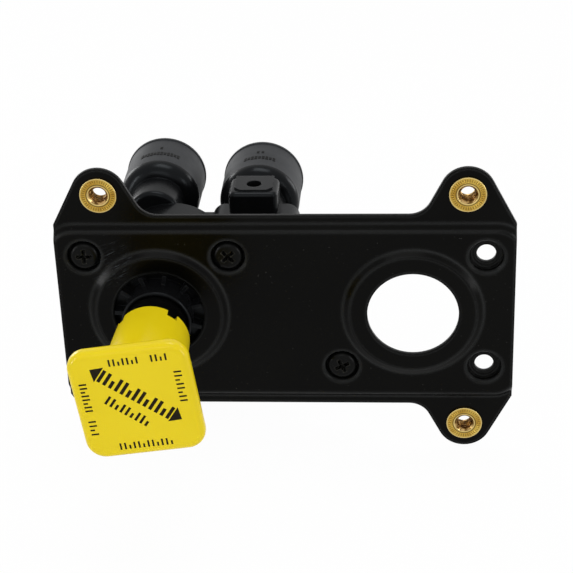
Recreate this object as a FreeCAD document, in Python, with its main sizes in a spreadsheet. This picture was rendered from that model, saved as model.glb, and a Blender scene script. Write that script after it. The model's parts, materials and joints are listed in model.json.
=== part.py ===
"""Air brake dash control valve on its stamped panel plate.

Millimetres. +X is right and +Y goes into the dash, away from the driver. +Z is up.
The origin is the middle of the four brass inserts, on the front face of the flange.
"""
import FreeCAD, Part
import os
import re
import Sketcher

doc = FreeCAD.newDocument("DashControlValve")

# Driving dimensions. Each name is one cell of the sheet. Depths are measured along +Y.
SIZES = {
    # Stamped panel plate.
    "sheet_wall": 1.5,
    "plate_half_width": 79.6,
    "plate_half_height": 37.4,
    "raise_height": 2.2,
    "raise_run": 2.2,
    "raise_margin": 5.2,
    "raise_overhang": 1.6,
    "raise_corner": 8.2,
    "raise_bend": 1.1,
    "ear_inset": 16.7,
    "ear_rise": 8.0,
    "ear_radius": 9.6,
    "ear_flank": 27.5,
    "ear_root": 8.0,
    "valve_spacing": 88.9,
    "valve_rise": 0.8,
    "valve_hole_radius": 15.9,
    "boss_radius": 22.2,
    "boss_height": 1.3,
    "boss_run": 2.4,
    "cup_offset_x": 25.1,
    "cup_offset_z": 21.8,
    "cup_radius": 6.9,
    "cup_depth": 3.0,
    "cup_draft": 0.25,
    "cup_bend": 1.0,
    "cup_wall": 1.2,
    "screw_hole_radius": 3.35,
    # Brass inserts in the ears.
    "insert_flange_radius": 6.35,
    "insert_flange_wall": 0.8,
    "insert_barrel_radius": 4.7,
    "insert_fit": 0.05,
    "insert_length": 6.5,
    "insert_bore_radius": 2.9,
    "insert_mouth_radius": 3.5,
    # Panel screws.
    "screw_head_radius": 5.15,
    "screw_head_height": 2.9,
    "screw_head_round": 1.6,
    "screw_shank_radius": 2.4,
    "screw_length": 12.0,
    "screw_recess_arm": 2.6,
    "screw_recess_width": 1.1,
    "screw_recess_depth": 1.7,
    "screw_fit": 0.05,
    "pilot_spare": 1.5,
    # Valve body moulding.
    "barrel_radius": 21.5,
    "chamber_radius": 14.0,
    "chamber_end": 22.5,
    "spool_bore_end": 39.0,
    "barrel_end_wall": 3.5,
    "foot_radius": 6.5,
    "foot_depth": 15.0,
    "foot_web_width": 5.0,
    "foot_web_depth": 7.0,
    "block_right": 3.0,
    "block_overlap": 6.05,
    "block_top": 21.8,
    "block_bottom": -25.6,
    "block_front": 14.0,
    "block_back": 42.5,
    "block_corner": 5.0,
    "bridge_top": 18.4,
    "bridge_bottom": -17.0,
    "bridge_front": 16.0,
    "arm_width": 11.0,
    "lug_width": 17.8,
    "lug_centre_x": -13.3,
    "lug_front": 33.4,
    "lug_back": 48.1,
    "lug_top": 30.0,
    "lug_base": 12.0,
    "lug_corner": 2.4,
    "lug_round": 1.7,
    "lug_pad_width": 14.0,
    "lug_pad_height": 0.6,
    "lug_pad_margin": 0.4,
    "lug_pad_chamfer": 2.2,
    "lug_hole_radius": 2.75,
    "lug_hole_depth": 9.0,
    "exhaust_y": 14.0,
    "exhaust_stub_radius": 9.0,
    "exhaust_stub_drop": 6.0,
    "exhaust_bore_radius": 5.0,
    "exhaust_flap_wall": 1.6,
    "exhaust_stem_radius": 1.6,
    # Tube ports on the back.
    "left_port_x": -51.0,
    "left_port_z": 16.6,
    "left_port_rim": 81.0,
    "right_port_x": -13.2,
    "right_port_z": 15.2,
    "right_port_rim": 80.0,
    "lower_port_z": -17.0,
    "port_radius": 15.0,
    "port_length": 21.3,
    "port_shoulder": 5.4,
    "port_boss_radius": 10.3,
    "port_boss_front": 41.2,
    "port_boss_round": 2.0,
    "port_lip": 0.3,
    "port_lip_length": 2.0,
    "port_rim_round": 0.8,
    "port_web_width": 4.0,
    "port_web_depth": 12.0,
    "socket_radius": 10.6,
    "socket_depth": 17.0,
    "tube_bore_radius": 6.6,
    "tube_bore_depth": 25.0,
    "passage_radius": 3.4,
    "link_radius": 2.5,
    # Push to connect pieces of each port.
    "slip_gap": 0.3,
    "seat_gap": 0.1,
    "cartridge_length": 11.0,
    "cartridge_bore_radius": 7.9,
    "collet_bore_radius": 6.7,
    "collet_radius": 7.5,
    "collet_flange_radius": 9.4,
    "collet_flange_wall": 1.8,
    "collet_travel": 1.2,
    "collet_reach": 9.0,
    "grab_ring_wall": 0.5,
    "grab_ring_teeth": 8,
    "tube_seal_section": 1.9,
    # Guide collar and its ring.
    "collar_radius": 12.2,
    "collar_rim": 10.5,
    "collar_bore_radius": 10.8,
    "collar_flange_wall": 2.0,
    "collar_spigot_length": 5.7,
    "collar_rim_bevel": 0.45,
    "collar_rib_count": 11,
    "collar_rib_width": 1.4,
    "collar_rib_front": 4.0,
    "collar_rib_phase": 13.7,
    "ring_section": 1.2,
    "ring_depth": 0.8,
    "ring_place": 3.0,
    # Plunger, its seals and spring.
    "plunger_radius": 10.5,
    "plunger_front": 54.0,
    "plunger_flange_radius": 13.6,
    "plunger_flange_wall": 2.8,
    "spool_radius": 6.85,
    "spool_end": 27.0,
    "seal_section": 1.6,
    "seal_place": 2.2,
    "spring_well_radius": 5.4,
    "spring_well_front": 4.0,
    "spring_seat_wall": 1.6,
    "spring_radius": 4.35,
    "spring_wire": 1.2,
    "spring_turns": 7,
    # Push button.
    "travel": 10.1,
    "button_gap": 0.4,
    "head_size": 40.0,
    "head_wall": 5.6,
    "head_corner": 6.5,
    "head_edge": 2.3,
    "head_turn": 8.0,
    "button_depth": 41.3,
    "skirt_rear_radius": 12.8,
    "skirt_front_radius": 14.4,
    "skirt_bore_clearance": 0.25,
    "skirt_notch_width": 3.8,
    "skirt_notch_depth": 3.5,
    "skirt_notch_count": 4,
    "pin_radius": 1.5,
    "pin_place": 12.0,
    "pin_fit": 0.05,
    "pin_inset": 0.6,
    # Double check valve between the two supply ports.
    "check_y": 27.0,
    "check_bore_radius": 6.0,
    "check_bore_top": 9.0,
    "check_link_radius": 3.2,
    "check_seat_top": -9.5,
    "check_seat_wall": 3.0,
    "shuttle_length": 10.0,
    "shuttle_waist_radius": 3.4,
    "shuttle_disc_wall": 2.6,
    "plug_head_radius": 8.0,
    "plug_head_wall": 3.0,
    "plug_length": 2.6,
}

sheet = doc.addObject("Spreadsheet::Sheet", "Sizes")
for row, (alias, value) in enumerate(SIZES.items(), start=1):
    sheet.set(f"A{row}", alias)
    sheet.set(f"B{row}", str(value))
    sheet.setAlias(f"B{row}", alias)
doc.recompute()


def sized(text):
    """Return an expression in which every driving dimension reads its cell."""
    def cell(match):
        word = match.group(0)
        return f"Sizes.{word}" if word in SIZES else word
    return re.sub(r"[a-z_]+[a-z0-9_]*", cell, str(text))


def size(text):
    """Return the present value of an expression of driving dimensions."""
    value = sheet.evalExpression(sized(text))
    return float(getattr(value, "Value", value))


def bind(thing, field, text):
    """Tie one property of an object to the sheet."""
    thing.setExpression(field, sized(text))


def new_body(label, place=("0", "0", "0")):
    """Start a sub-part whose own origin lies at the given place."""
    body = doc.addObject("PartDesign::Body", label)
    body.Label = label
    for axis, text in zip("xyz", place):
        bind(body, f"Placement.Base.{axis}", text)
    return body


def plane(body, role):
    """Return one of the body's origin planes or axes."""
    for feature in body.Origin.OriginFeatures:
        if feature.Role == role:
            return feature
    raise ValueError(f"no {role}")


def new_sketch(body, name, role, shift=("0", "0", "0"), turn="0"):
    """Attach a sketch to an origin plane, shifted along its own axes and turned in its plane."""
    sketch = body.newObject("Sketcher::SketchObject", name)
    sketch.AttachmentSupport = [(plane(body, role), "")]
    sketch.MapMode = "FlatFace"
    sketch.AttachmentOffset = FreeCAD.Placement(
        FreeCAD.Vector(), FreeCAD.Rotation(FreeCAD.Vector(0, 0, 1), size(turn)))
    for axis, text in zip("xyz", shift):
        bind(sketch, f"AttachmentOffset.Base.{axis}", text)
    if turn != "0":
        bind(sketch, "AttachmentOffset.Rotation.Angle", turn)
    return sketch


def fix_point(sketch, curve, end, corner):
    """Hold one end of a curve at a place given by two expressions."""
    for kind, text in zip(("DistanceX", "DistanceY"), corner):
        index = sketch.addConstraint(Sketcher.Constraint(kind, -1, 1, curve, end, size(text)))
        sketch.setExpression(f"Constraints[{index}]", sized(text))


def arc_centre(start, end, radius, side):
    """Return the centre of an arc between two points, on the left of its run for side 1."""
    middle = (start + end) / 2
    chord = end - start
    rise = max(radius ** 2 - (chord.Length / 2) ** 2, 0) ** 0.5
    normal = FreeCAD.Vector(-chord.y, chord.x, 0).normalize()
    return middle + normal * rise * side


def outline(sketch, corners):
    """Draw a closed outline. A corner is (x, y), or (x, y, radius, side) to arrive by an arc."""
    points = [FreeCAD.Vector(size(corner[0]), size(corner[1]), 0) for corner in corners]
    count = len(corners)
    curves = []
    for number, corner in enumerate(corners):
        start = points[number - 1]
        end = points[number]
        if len(corner) == 2:
            curve = sketch.addGeometry(Part.LineSegment(start, end))
            curves.append((curve, 1, 2))
            continue
        radius = size(corner[2])
        side = corner[3]
        centre = arc_centre(start, end, radius, side)
        first, last = (start, end) if side > 0 else (end, start)
        circle = Part.Circle(centre, FreeCAD.Vector(0, 0, 1), radius)
        arc = Part.ArcOfCircle(circle, circle.parameter(first), circle.parameter(last))
        curve = sketch.addGeometry(arc)
        curves.append((curve, 1, 2) if side > 0 else (curve, 2, 1))
        index = sketch.addConstraint(Sketcher.Constraint("Radius", curve, radius))
        sketch.setExpression(f"Constraints[{index}]", sized(corner[2]))
    for number in range(count):
        curve, first, last = curves[number]
        follower, follower_first, follower_last = curves[(number + 1) % count]
        sketch.addConstraint(Sketcher.Constraint("Coincident", curve, last, follower, follower_first))
        fix_point(sketch, curve, last, corners[number])


def circle(sketch, x, y, radius):
    """Draw a circle whose centre and radius follow the sheet."""
    centre = FreeCAD.Vector(size(x), size(y), 0)
    curve = sketch.addGeometry(Part.Circle(centre, FreeCAD.Vector(0, 0, 1), size(radius)))
    fix_point(sketch, curve, 3, (x, y))
    index = sketch.addConstraint(Sketcher.Constraint("Radius", curve, size(radius)))
    sketch.setExpression(f"Constraints[{index}]", sized(radius))


def rounded_box(left, bottom, right, top, radius):
    """Return the corners of a rectangle with round corners, run anticlockwise."""
    return [
        (f"({left}) + ({radius})", bottom),
        (f"({right}) - ({radius})", bottom),
        (right, f"({bottom}) + ({radius})", radius, 1),
        (right, f"({top}) - ({radius})"),
        (f"({right}) - ({radius})", top, radius, 1),
        (f"({left}) + ({radius})", top),
        (left, f"({top}) - ({radius})", radius, 1),
        (left, f"({bottom}) + ({radius})"),
        (f"({left}) + ({radius})", bottom, radius, 1),
    ][1:]


def box_corners(left, bottom, right, top):
    """Return the corners of a plain rectangle, run anticlockwise."""
    return [(left, bottom), (right, bottom), (right, top), (left, top)]


def extrude(body, kind, name, sketch, length, backward=True):
    """Pad or pocket a sketch. Backward runs towards +Y on the front planes."""
    feature = body.newObject(f"PartDesign::{kind}", name)
    feature.Profile = sketch
    bind(feature, "Length", length)
    feature.Reversed = backward if kind == "Pad" else not backward
    body.Tip = feature
    return feature


def turn(body, kind, name, sketch):
    """Revolve or groove a sketch a whole turn about its upright axis."""
    feature = body.newObject(f"PartDesign::{kind}", name)
    feature.Profile = sketch
    feature.ReferenceAxis = (sketch, ["V_Axis"])
    feature.Angle = 360
    body.Tip = feature
    return feature


def checked(body, feature, adds):
    """Recompute, and stop if a feature left the volume as it was."""
    before = feature.BaseFeature.Shape.Volume if feature.BaseFeature else 0
    doc.recompute()
    change = feature.Shape.Volume - before
    if (change > 0) != adds or abs(change) < 1e-6:
        raise ValueError(f"{body.Label} {feature.Name} changed the volume by {change}")


def front_pad(body, name, depth, corners, length, backward=True, turned="0"):
    """Pad an outline drawn on the front plane at a depth."""
    sketch = new_sketch(body, f"{name}_sketch", "XZ_Plane", ("0", "0", f"-({depth})"), turned)
    outline(sketch, corners)
    feature = extrude(body, "Pad", name, sketch, length, backward)
    checked(body, feature, True)
    return feature


def front_hole(body, name, depth, centre, radius, length, backward=True):
    """Cut a round hole along Y from a depth."""
    sketch = new_sketch(body, f"{name}_sketch", "XZ_Plane", ("0", "0", f"-({depth})"))
    circle(sketch, centre[0], centre[1], radius)
    feature = extrude(body, "Pocket", name, sketch, length, backward)
    checked(body, feature, False)
    return feature


def side_hole(body, name, role, shift, centre, radius, length, backward):
    """Cut a round hole square to one of the origin planes."""
    sketch = new_sketch(body, f"{name}_sketch", role, ("0", "0", shift))
    circle(sketch, centre[0], centre[1], radius)
    feature = body.newObject("PartDesign::Pocket", name)
    feature.Profile = sketch
    bind(feature, "Length", length)
    feature.Reversed = backward
    body.Tip = feature
    checked(body, feature, False)
    return feature


def turned(body, kind, name, corners, centre=("0", "0"), role="XY_Plane"):
    """Turn a profile of (radius, along) corners about an axis through the centre."""
    shift = (centre[0], "0", centre[1])
    sketch = new_sketch(body, f"{name}_sketch", role, shift)
    outline(sketch, corners)
    feature = turn(body, kind, name, sketch)
    checked(body, feature, kind == "Revolution")
    return feature


def around(body, name, feature, count):
    """Repeat a feature evenly about the body's Y axis."""
    pattern = body.newObject("PartDesign::PolarPattern", name)
    pattern.Originals = [feature]
    pattern.Axis = (plane(body, "Y_Axis"), [""])
    pattern.Angle = 360
    bind(pattern, "Occurrences", count)
    body.Tip = pattern
    doc.recompute()
    return pattern


def round_edges(body, name, radius, wanted, kind="Fillet"):
    """Round or chamfer those edges of the tip that the test wants."""
    base = body.Tip
    found = [f"Edge{number}" for number, edge in enumerate(base.Shape.Edges, start=1) if wanted(edge)]
    if not found:
        raise ValueError(f"{body.Label} {name} found no edge")
    feature = body.newObject(f"PartDesign::{kind}", name)
    feature.Base = (base, found)
    bind(feature, "Radius" if kind == "Fillet" else "Size", radius)
    body.Tip = feature
    doc.recompute()
    return feature


def on_level(edge, axis, level):
    """True when both the ends and the middle of an edge lie at one level along an axis."""
    bounds = edge.BoundBox
    low = getattr(bounds, f"{axis}Min")
    high = getattr(bounds, f"{axis}Max")
    return abs(low - level) < 1e-3 and abs(high - level) < 1e-3


def circle_at(edge, radius, level):
    """True for a round edge of this radius about an axis along Y, at this depth."""
    curve = edge.Curve
    if not isinstance(curve, Part.Circle):
        return False
    return abs(curve.Radius - radius) < 1e-3 and abs(curve.Center.y - level) < 1e-3


LEFT_VALVE = "-valve_spacing / 2"
RIGHT_VALVE = "valve_spacing / 2"
CUP_LEFT = "-valve_spacing / 2 - cup_offset_x"
CUP_INNER_LEFT = "-valve_spacing / 2 + cup_offset_x"
CUP_INNER_RIGHT = "valve_spacing / 2 - cup_offset_x"
CUP_RIGHT = "valve_spacing / 2 + cup_offset_x"
CUP_TOP = "valve_rise + cup_offset_z"
CUP_BOTTOM = "valve_rise - cup_offset_z"
EAR_X = "(plate_half_width - ear_inset)"
EAR_Z = "(plate_half_height + ear_rise)"
MOUNT_FACE = "cup_depth - raise_height + sheet_wall"
# The screw cups that the panel has, and those that hold a screw.
CUPS = [
    (CUP_LEFT, CUP_TOP),
    (CUP_INNER_LEFT, CUP_TOP),
    (CUP_LEFT, CUP_BOTTOM),
    (CUP_INNER_RIGHT, CUP_BOTTOM),
    (CUP_RIGHT, CUP_TOP),
    (CUP_RIGHT, CUP_BOTTOM),
]
SCREWED_CUPS = CUPS[:4]


def ear_corners(side_x, side_z):
    """Outline of one ear: a round tip whose flanks run down to the edge of the flange."""
    out_x = f"({EAR_X} + ear_radius * cos(ear_flank))"
    in_x = f"({EAR_X} - ear_radius * cos(ear_flank))"
    flank_z = f"({EAR_Z} + ear_radius * sin(ear_flank))"
    corner_z = f"({flank_z} - (plate_half_width - {out_x}) / tan(ear_flank))"
    foot_x = f"({in_x} - ({flank_z} - plate_half_height) * tan(ear_flank))"
    inside_z = "(plate_half_height - ear_root)"
    bend = side_x * side_z
    corners = [
        ("plate_half_width", inside_z),
        ("plate_half_width", corner_z),
        (out_x, flank_z),
        (in_x, flank_z, "ear_radius", bend),
        (foot_x, "plate_half_height"),
        (foot_x, inside_z),
    ]
    placed = []
    for corner in corners:
        place = (f"{side_x} * {corner[0]}", f"{side_z} * {corner[1]}")
        placed.append(place + tuple(corner[2:]))
    return placed


def make_panel_plate():
    body = new_body("panel_plate")
    corner_z = (f"{EAR_Z} + ear_radius * sin(ear_flank) - (ear_inset"
                " - ear_radius * cos(ear_flank)) / tan(ear_flank)")
    flange = [
        ("-plate_half_width", f"-({corner_z})"),
        ("-plate_half_width + ear_root", "-plate_half_height"),
        ("plate_half_width - ear_root", "-plate_half_height"),
        ("plate_half_width", f"-({corner_z})"),
        ("plate_half_width", corner_z),
        ("plate_half_width - ear_root", "plate_half_height"),
        ("-plate_half_width + ear_root", "plate_half_height"),
        ("-plate_half_width", corner_z),
    ]
    front_pad(body, "flange", "0", flange, "sheet_wall")
    for side_x in (-1, 1):
        for side_z in (-1, 1):
            name = f"ear_{'left' if side_x < 0 else 'right'}_{'bottom' if side_z < 0 else 'top'}"
            front_pad(body, name, "0", ear_corners(side_x, side_z), "sheet_wall")

    def ear_root_edge(edge):
        foot = size(f"{EAR_X} - ear_radius * cos(ear_flank)"
                    " - (ear_rise + ear_radius * sin(ear_flank)) * tan(ear_flank)")
        middle = edge.BoundBox.Center
        across = edge.BoundBox.XLength < 1e-6 and edge.BoundBox.ZLength < 1e-6
        at_foot = abs(abs(middle.x) - foot) < 1e-3
        return across and at_foot and abs(abs(middle.z) - size("plate_half_height")) < 1e-3

    round_edges(body, "ear_roots", "ear_root", ear_root_edge)

    raised_loft(body, "raised_front", "AdditiveLoft", "0", "-raise_height", "0")
    step_front = size("raise_height")

    def bend_edge(edge):
        return on_level(edge, "Y", -step_front)

    round_edges(body, "raised_bend", "raise_bend", bend_edge)
    raised_loft(body, "raised_back", "SubtractiveLoft", "sheet_wall", "sheet_wall - raise_height",
                "sheet_wall / 2")
    for side in (-1, 1):
        name = "trim_left" if side < 0 else "trim_right"
        near = f"{side} * plate_half_width"
        far = f"{side} * (plate_half_width + 2 * raise_run + raise_overhang)"
        sketch = new_sketch(body, f"{name}_sketch", "XZ_Plane", ("0", "0", "2 * raise_height"))
        outline(sketch, box_corners(near, "-plate_half_height", far, "plate_half_height"))
        feature = extrude(body, "Pocket", name, sketch, "4 * raise_height + sheet_wall")
        checked(body, feature, False)

    for name, x in (("left", LEFT_VALVE), ("right", RIGHT_VALVE)):
        centre = (x, "valve_rise")
        crest = "-raise_height - boss_height"
        turned(body, "Revolution", f"boss_{name}", [
            ("0", "-raise_height + sheet_wall / 2"),
            ("boss_radius + boss_run", "-raise_height + sheet_wall / 2"),
            ("boss_radius + boss_run", "-raise_height"),
            ("boss_radius", crest),
            ("0", crest),
        ], centre)
        turned(body, "Groove", f"boss_back_{name}", [
            ("0", "sheet_wall - raise_height"),
            ("boss_radius + boss_run - sheet_wall / 3", "sheet_wall - raise_height"),
            ("boss_radius - sheet_wall / 3", f"sheet_wall + {crest}"),
            ("0", f"sheet_wall + {crest}"),
        ], centre)
        front_hole(body, f"valve_hole_{name}", "-2 * raise_height - boss_height", centre,
                   "valve_hole_radius", "4 * raise_height + boss_height")
    crest_level = -size("raise_height + boss_height")

    def crest_edge(edge):
        return circle_at(edge, size("boss_radius"), crest_level)

    round_edges(body, "boss_bends", "raise_bend", crest_edge)

    for number, centre in enumerate(CUPS, start=1):
        turned(body, "Revolution", f"cup_back_{number}", [
            ("0", "sheet_wall / 2 - raise_height"),
            ("cup_radius + cup_wall", "sheet_wall / 2 - raise_height"),
            ("cup_radius + cup_wall", "sheet_wall - raise_height"),
            ("cup_radius + cup_wall - cup_bend - cup_draft", MOUNT_FACE),
            ("0", MOUNT_FACE),
        ], centre)
        turned(body, "Groove", f"cup_{number}", [
            ("0", "-raise_height"),
            ("cup_radius", "-raise_height"),
            ("cup_radius - cup_bend", "cup_bend - raise_height", "cup_bend", -1),
            ("cup_radius - cup_bend - cup_draft", "cup_depth - raise_height"),
            ("0", "cup_depth - raise_height"),
        ], centre)
        front_hole(body, f"screw_hole_{number}", "-2 * raise_height", centre,
                   "screw_hole_radius", f"4 * raise_height + {MOUNT_FACE}")

    for number, (side_x, side_z) in enumerate(((-1, -1), (-1, 1), (1, -1), (1, 1)), start=1):
        centre = (f"{side_x} * {EAR_X}", f"{side_z} * {EAR_Z}")
        front_hole(body, f"insert_hole_{number}", "-raise_height", centre,
                   "insert_barrel_radius + insert_fit", "2 * raise_height + sheet_wall")
    return body


def raised_loft(body, name, kind, foot, crest, shrink):
    """Loft between the foot and the crest of the raised middle, drawn in by the sheet on the back."""
    sections = []
    for level, run in ((foot, "raise_run"), (crest, "0")):
        half_width = f"(plate_half_width + raise_overhang + {run} - {shrink})"
        half_height = f"(plate_half_height - raise_margin + {run} - {shrink})"
        corner = f"(raise_corner + {run} - {shrink})"
        label = f"{name}_{'foot' if run != '0' else 'crest'}"
        sketch = new_sketch(body, label, "XZ_Plane", ("0", "0", f"-({level})"))
        outline(sketch, rounded_box(f"-{half_width}", f"-{half_height}", half_width, half_height, corner))
        sections.append(sketch)
    feature = body.newObject(f"PartDesign::{kind}", name)
    feature.Profile = sections[0]
    feature.Sections = sections[1:]
    feature.Ruled = True
    body.Tip = feature
    checked(body, feature, kind == "AdditiveLoft")
    return feature


def make_insert(name, side_x, side_z):
    """Threaded brass insert: a flange on the front of the ear and a barrel through it."""
    place = (f"{side_x} * {EAR_X}", "0", f"{side_z} * {EAR_Z}")
    body = new_body(name, place)
    mouth = "(insert_mouth_radius - insert_bore_radius)"
    turned(body, "Revolution", "insert", [
        ("insert_mouth_radius", "-insert_flange_wall"),
        ("insert_flange_radius", "-insert_flange_wall"),
        ("insert_flange_radius", "0"),
        ("insert_barrel_radius", "0"),
        ("insert_barrel_radius", "insert_length - insert_flange_wall"),
        ("insert_bore_radius", "insert_length - insert_flange_wall"),
        ("insert_bore_radius", f"-insert_flange_wall + {mouth}"),
    ])
    return body


def make_panel_screw(name, centre, cross_turn):
    """Pan head screw with a cross recess, seated on the floor of its cup."""
    body = new_body(name, (centre[0], "cup_depth - raise_height", centre[1]))
    turned(body, "Revolution", "screw", [
        ("0", "-screw_head_height"),
        ("screw_head_radius - screw_head_round", "-screw_head_height"),
        ("screw_head_radius - screw_head_round / 4", "-screw_head_height + screw_head_round / 3"),
        ("screw_head_radius", "-screw_head_height + screw_head_round"),
        ("screw_head_radius", "0"),
        ("screw_shank_radius", "0"),
        ("screw_shank_radius", "screw_length - screw_shank_radius"),
        ("screw_shank_radius / 4", "screw_length"),
        ("0", "screw_length"),
    ])
    for part, angle in (("recess", cross_turn), ("recess_across", f"{cross_turn} + 90")):
        sketch = new_sketch(body, f"{part}_sketch", "XZ_Plane", ("0", "0", "screw_head_height"), angle)
        outline(sketch, box_corners("-screw_recess_arm", "-screw_recess_width / 2",
                                    "screw_recess_arm", "screw_recess_width / 2"))
        feature = extrude(body, "Pocket", part, sketch, "screw_recess_depth")
        checked(body, feature, False)
    return body


BODY_X = LEFT_VALVE
BODY_Z = "valve_rise"
BARREL_END = "spool_bore_end + barrel_end_wall"


def local_x(text):
    """Turn an x of the row frame into one measured from the valve axis."""
    return f"({text}) - ({BODY_X})"


def local_z(text):
    """Turn a z of the row frame into one measured from the valve axis."""
    return f"({text}) - ({BODY_Z})"


PORTS = {
    "left": ("left_port_x", "left_port_z", "left_port_rim", "spool_bore_end - 2 * passage_radius"),
    "right": ("right_port_x", "right_port_z", "right_port_rim", "check_y - passage_radius"),
    "lower": ("right_port_x", "lower_port_z", "right_port_rim", "check_y"),
}


def make_valve_body():
    body = new_body("valve_body", (BODY_X, "0", BODY_Z))
    turned(body, "Revolution", "barrel", [
        ("0", MOUNT_FACE),
        ("barrel_radius", MOUNT_FACE),
        ("barrel_radius", BARREL_END),
        ("0", BARREL_END),
    ])
    for number, centre in enumerate(SCREWED_CUPS, start=1):
        add_foot(body, number, centre)
    left, right = "(barrel_radius - block_overlap)", local_x("block_right")
    front_pad(body, "check_block", "block_front",
              rounded_box(left, local_z("block_bottom"), right, local_z("block_top"), "block_corner"),
              "block_back - block_front")
    front_pad(body, "bridge", "bridge_front",
              box_corners("0", local_z("bridge_bottom"), left + " + block_corner", local_z("bridge_top")),
              f"{BARREL_END} - bridge_front")
    for name in PORTS:
        add_port(body, name)
    web_x = local_x("right_port_x")
    front_pad(body, "port_web", "block_back - 1",
              box_corners(f"{web_x} - port_web_width / 2", local_z("lower_port_z"),
                          f"{web_x} + port_web_width / 2", local_z("right_port_z")),
              "port_web_depth + 1")
    add_lug(body)
    add_exhaust(body)
    cut_chambers(body)
    for name in PORTS:
        cut_port(body, name)
    cut_passages(body)
    return body


def add_foot(body, number, centre):
    """Screw boss behind a cup, with a web that joins it to the barrel or to the block."""
    x, z = local_x(centre[0]), local_z(centre[1])
    sketch = new_sketch(body, f"foot_{number}_sketch", "XZ_Plane", ("0", "0", f"-({MOUNT_FACE})"))
    circle(sketch, x, z, "foot_radius")
    feature = extrude(body, "Pad", f"foot_{number}", sketch, "foot_depth")
    checked(body, feature, True)
    if centre[0] == CUP_INNER_RIGHT:
        corners = box_corners(local_x("block_right - block_corner - arm_width"), f"{z} - arm_width / 2",
                              x, f"{z} + arm_width / 2")
        depth = "foot_depth"
    else:
        corners = [
            ("-foot_web_width", "0"),
            (f"{x} - foot_web_width / 2", z),
            (f"{x} + foot_web_width / 2", z),
            ("foot_web_width", "0"),
        ]
        depth = "foot_web_depth"
    front_pad(body, f"foot_web_{number}", MOUNT_FACE, corners, depth)


def add_port(body, name):
    """Round port: a boss with a rounded front, a shoulder and the socket barrel with its lip."""
    x, z, rim = PORTS[name][:3]
    barrel_start = f"({rim} - port_length)"
    shoulder_start = f"({rim} - port_length - port_shoulder)"
    step = "(port_radius - port_boss_radius)"
    lip = "(port_radius + port_lip)"
    turned(body, "Revolution", f"port_{name}", [
        ("0", "port_boss_front"),
        ("port_boss_radius - port_boss_round", "port_boss_front"),
        ("port_boss_radius", "port_boss_front + port_boss_round", "port_boss_round", 1),
        ("port_boss_radius", shoulder_start),
        ("port_radius", barrel_start, f"({step} * {step} + port_shoulder * port_shoulder) / (2 * {step})", 1),
        ("port_radius", f"{rim} - port_lip_length"),
        (lip, f"{rim} - port_lip_length"),
        (lip, f"{rim} - port_rim_round"),
        (f"{lip} - port_rim_round", rim),
        ("0", rim),
    ], (local_x(x), local_z(z)))


def cut_port(body, name):
    """Socket for the push to connect pieces, the tube stop and the passage."""
    x, z, rim, deep = PORTS[name]
    turned(body, "Groove", f"socket_{name}", [
        ("0", rim),
        ("socket_radius", rim),
        ("socket_radius", f"{rim} - socket_depth"),
        ("tube_bore_radius", f"{rim} - socket_depth"),
        ("tube_bore_radius", f"{rim} - tube_bore_depth"),
        ("passage_radius", f"{rim} - tube_bore_depth"),
        ("passage_radius", deep),
        ("0", deep),
    ], (local_x(x), local_z(z)))


def add_lug(body):
    """Upright lug in front of the right port, with a raised pad and a hole in its top."""
    left = local_x("lug_centre_x - lug_width / 2")
    right = local_x("lug_centre_x + lug_width / 2")
    sketch = new_sketch(body, "lug_sketch", "XY_Plane", ("0", "0", local_z("lug_base")))
    outline(sketch, rounded_box(left, "lug_front", right, "lug_back", "lug_corner"))
    feature = extrude(body, "Pad", "lug", sketch, "lug_top - lug_base", False)
    checked(body, feature, True)
    top = size(local_z("lug_top"))

    def top_edge(edge):
        return on_level(edge, "Z", top)

    round_edges(body, "lug_rounds", "lug_round", top_edge)
    pad_left = local_x("lug_centre_x - lug_pad_width / 2")
    pad_right = local_x("lug_centre_x + lug_pad_width / 2")
    front, back = "lug_front + lug_pad_margin + lug_round", "lug_back - lug_pad_margin"
    sketch = new_sketch(body, "lug_pad_sketch", "XY_Plane", ("0", "0", f"{local_z('lug_top')} - lug_pad_height"))
    outline(sketch, [
        (pad_left, back),
        (pad_left, f"{front} + lug_pad_chamfer"),
        (f"{pad_left} + lug_pad_chamfer", front),
        (f"{pad_right} - lug_pad_chamfer", front),
        (pad_right, f"{front} + lug_pad_chamfer"),
        (pad_right, back),
    ])
    feature = extrude(body, "Pad", "lug_pad", sketch, "2 * lug_pad_height", False)
    checked(body, feature, True)
    side_hole(body, "lug_hole", "XY_Plane", f"{local_z('lug_top')} + lug_pad_height",
              (local_x("lug_centre_x"), "(lug_front + lug_back) / 2"), "lug_hole_radius",
              "lug_hole_depth", False)


def add_exhaust(body):
    """Exhaust stub under the barrel, open to the plunger chamber."""
    sketch = new_sketch(body, "exhaust_sketch", "XY_Plane", ("0", "0", "-barrel_radius - exhaust_stub_drop"))
    circle(sketch, "0", "exhaust_y", "exhaust_stub_radius")
    feature = extrude(body, "Pad", "exhaust_stub", sketch, "barrel_radius", False)
    checked(body, feature, True)


def cut_chambers(body):
    """Plunger chamber, spool bore, collar ring groove and the pilot holes of the feet."""
    ring_front = f"{MOUNT_FACE} + ring_place"
    turned(body, "Groove", "chamber", [
        ("0", MOUNT_FACE),
        ("chamber_radius", MOUNT_FACE),
        ("chamber_radius", ring_front),
        ("chamber_radius + ring_depth", ring_front),
        ("chamber_radius + ring_depth", f"{ring_front} + ring_section"),
        ("chamber_radius", f"{ring_front} + ring_section"),
        ("chamber_radius", "chamber_end"),
        ("spool_radius + slip_gap", "chamber_end"),
        ("spool_radius + slip_gap", "spool_bore_end"),
        ("0", "spool_bore_end"),
    ])
    for number, centre in enumerate(SCREWED_CUPS, start=1):
        front_hole(body, f"pilot_{number}", MOUNT_FACE, (local_x(centre[0]), local_z(centre[1])),
                   "screw_shank_radius + screw_fit", "screw_length - sheet_wall + pilot_spare")


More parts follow.
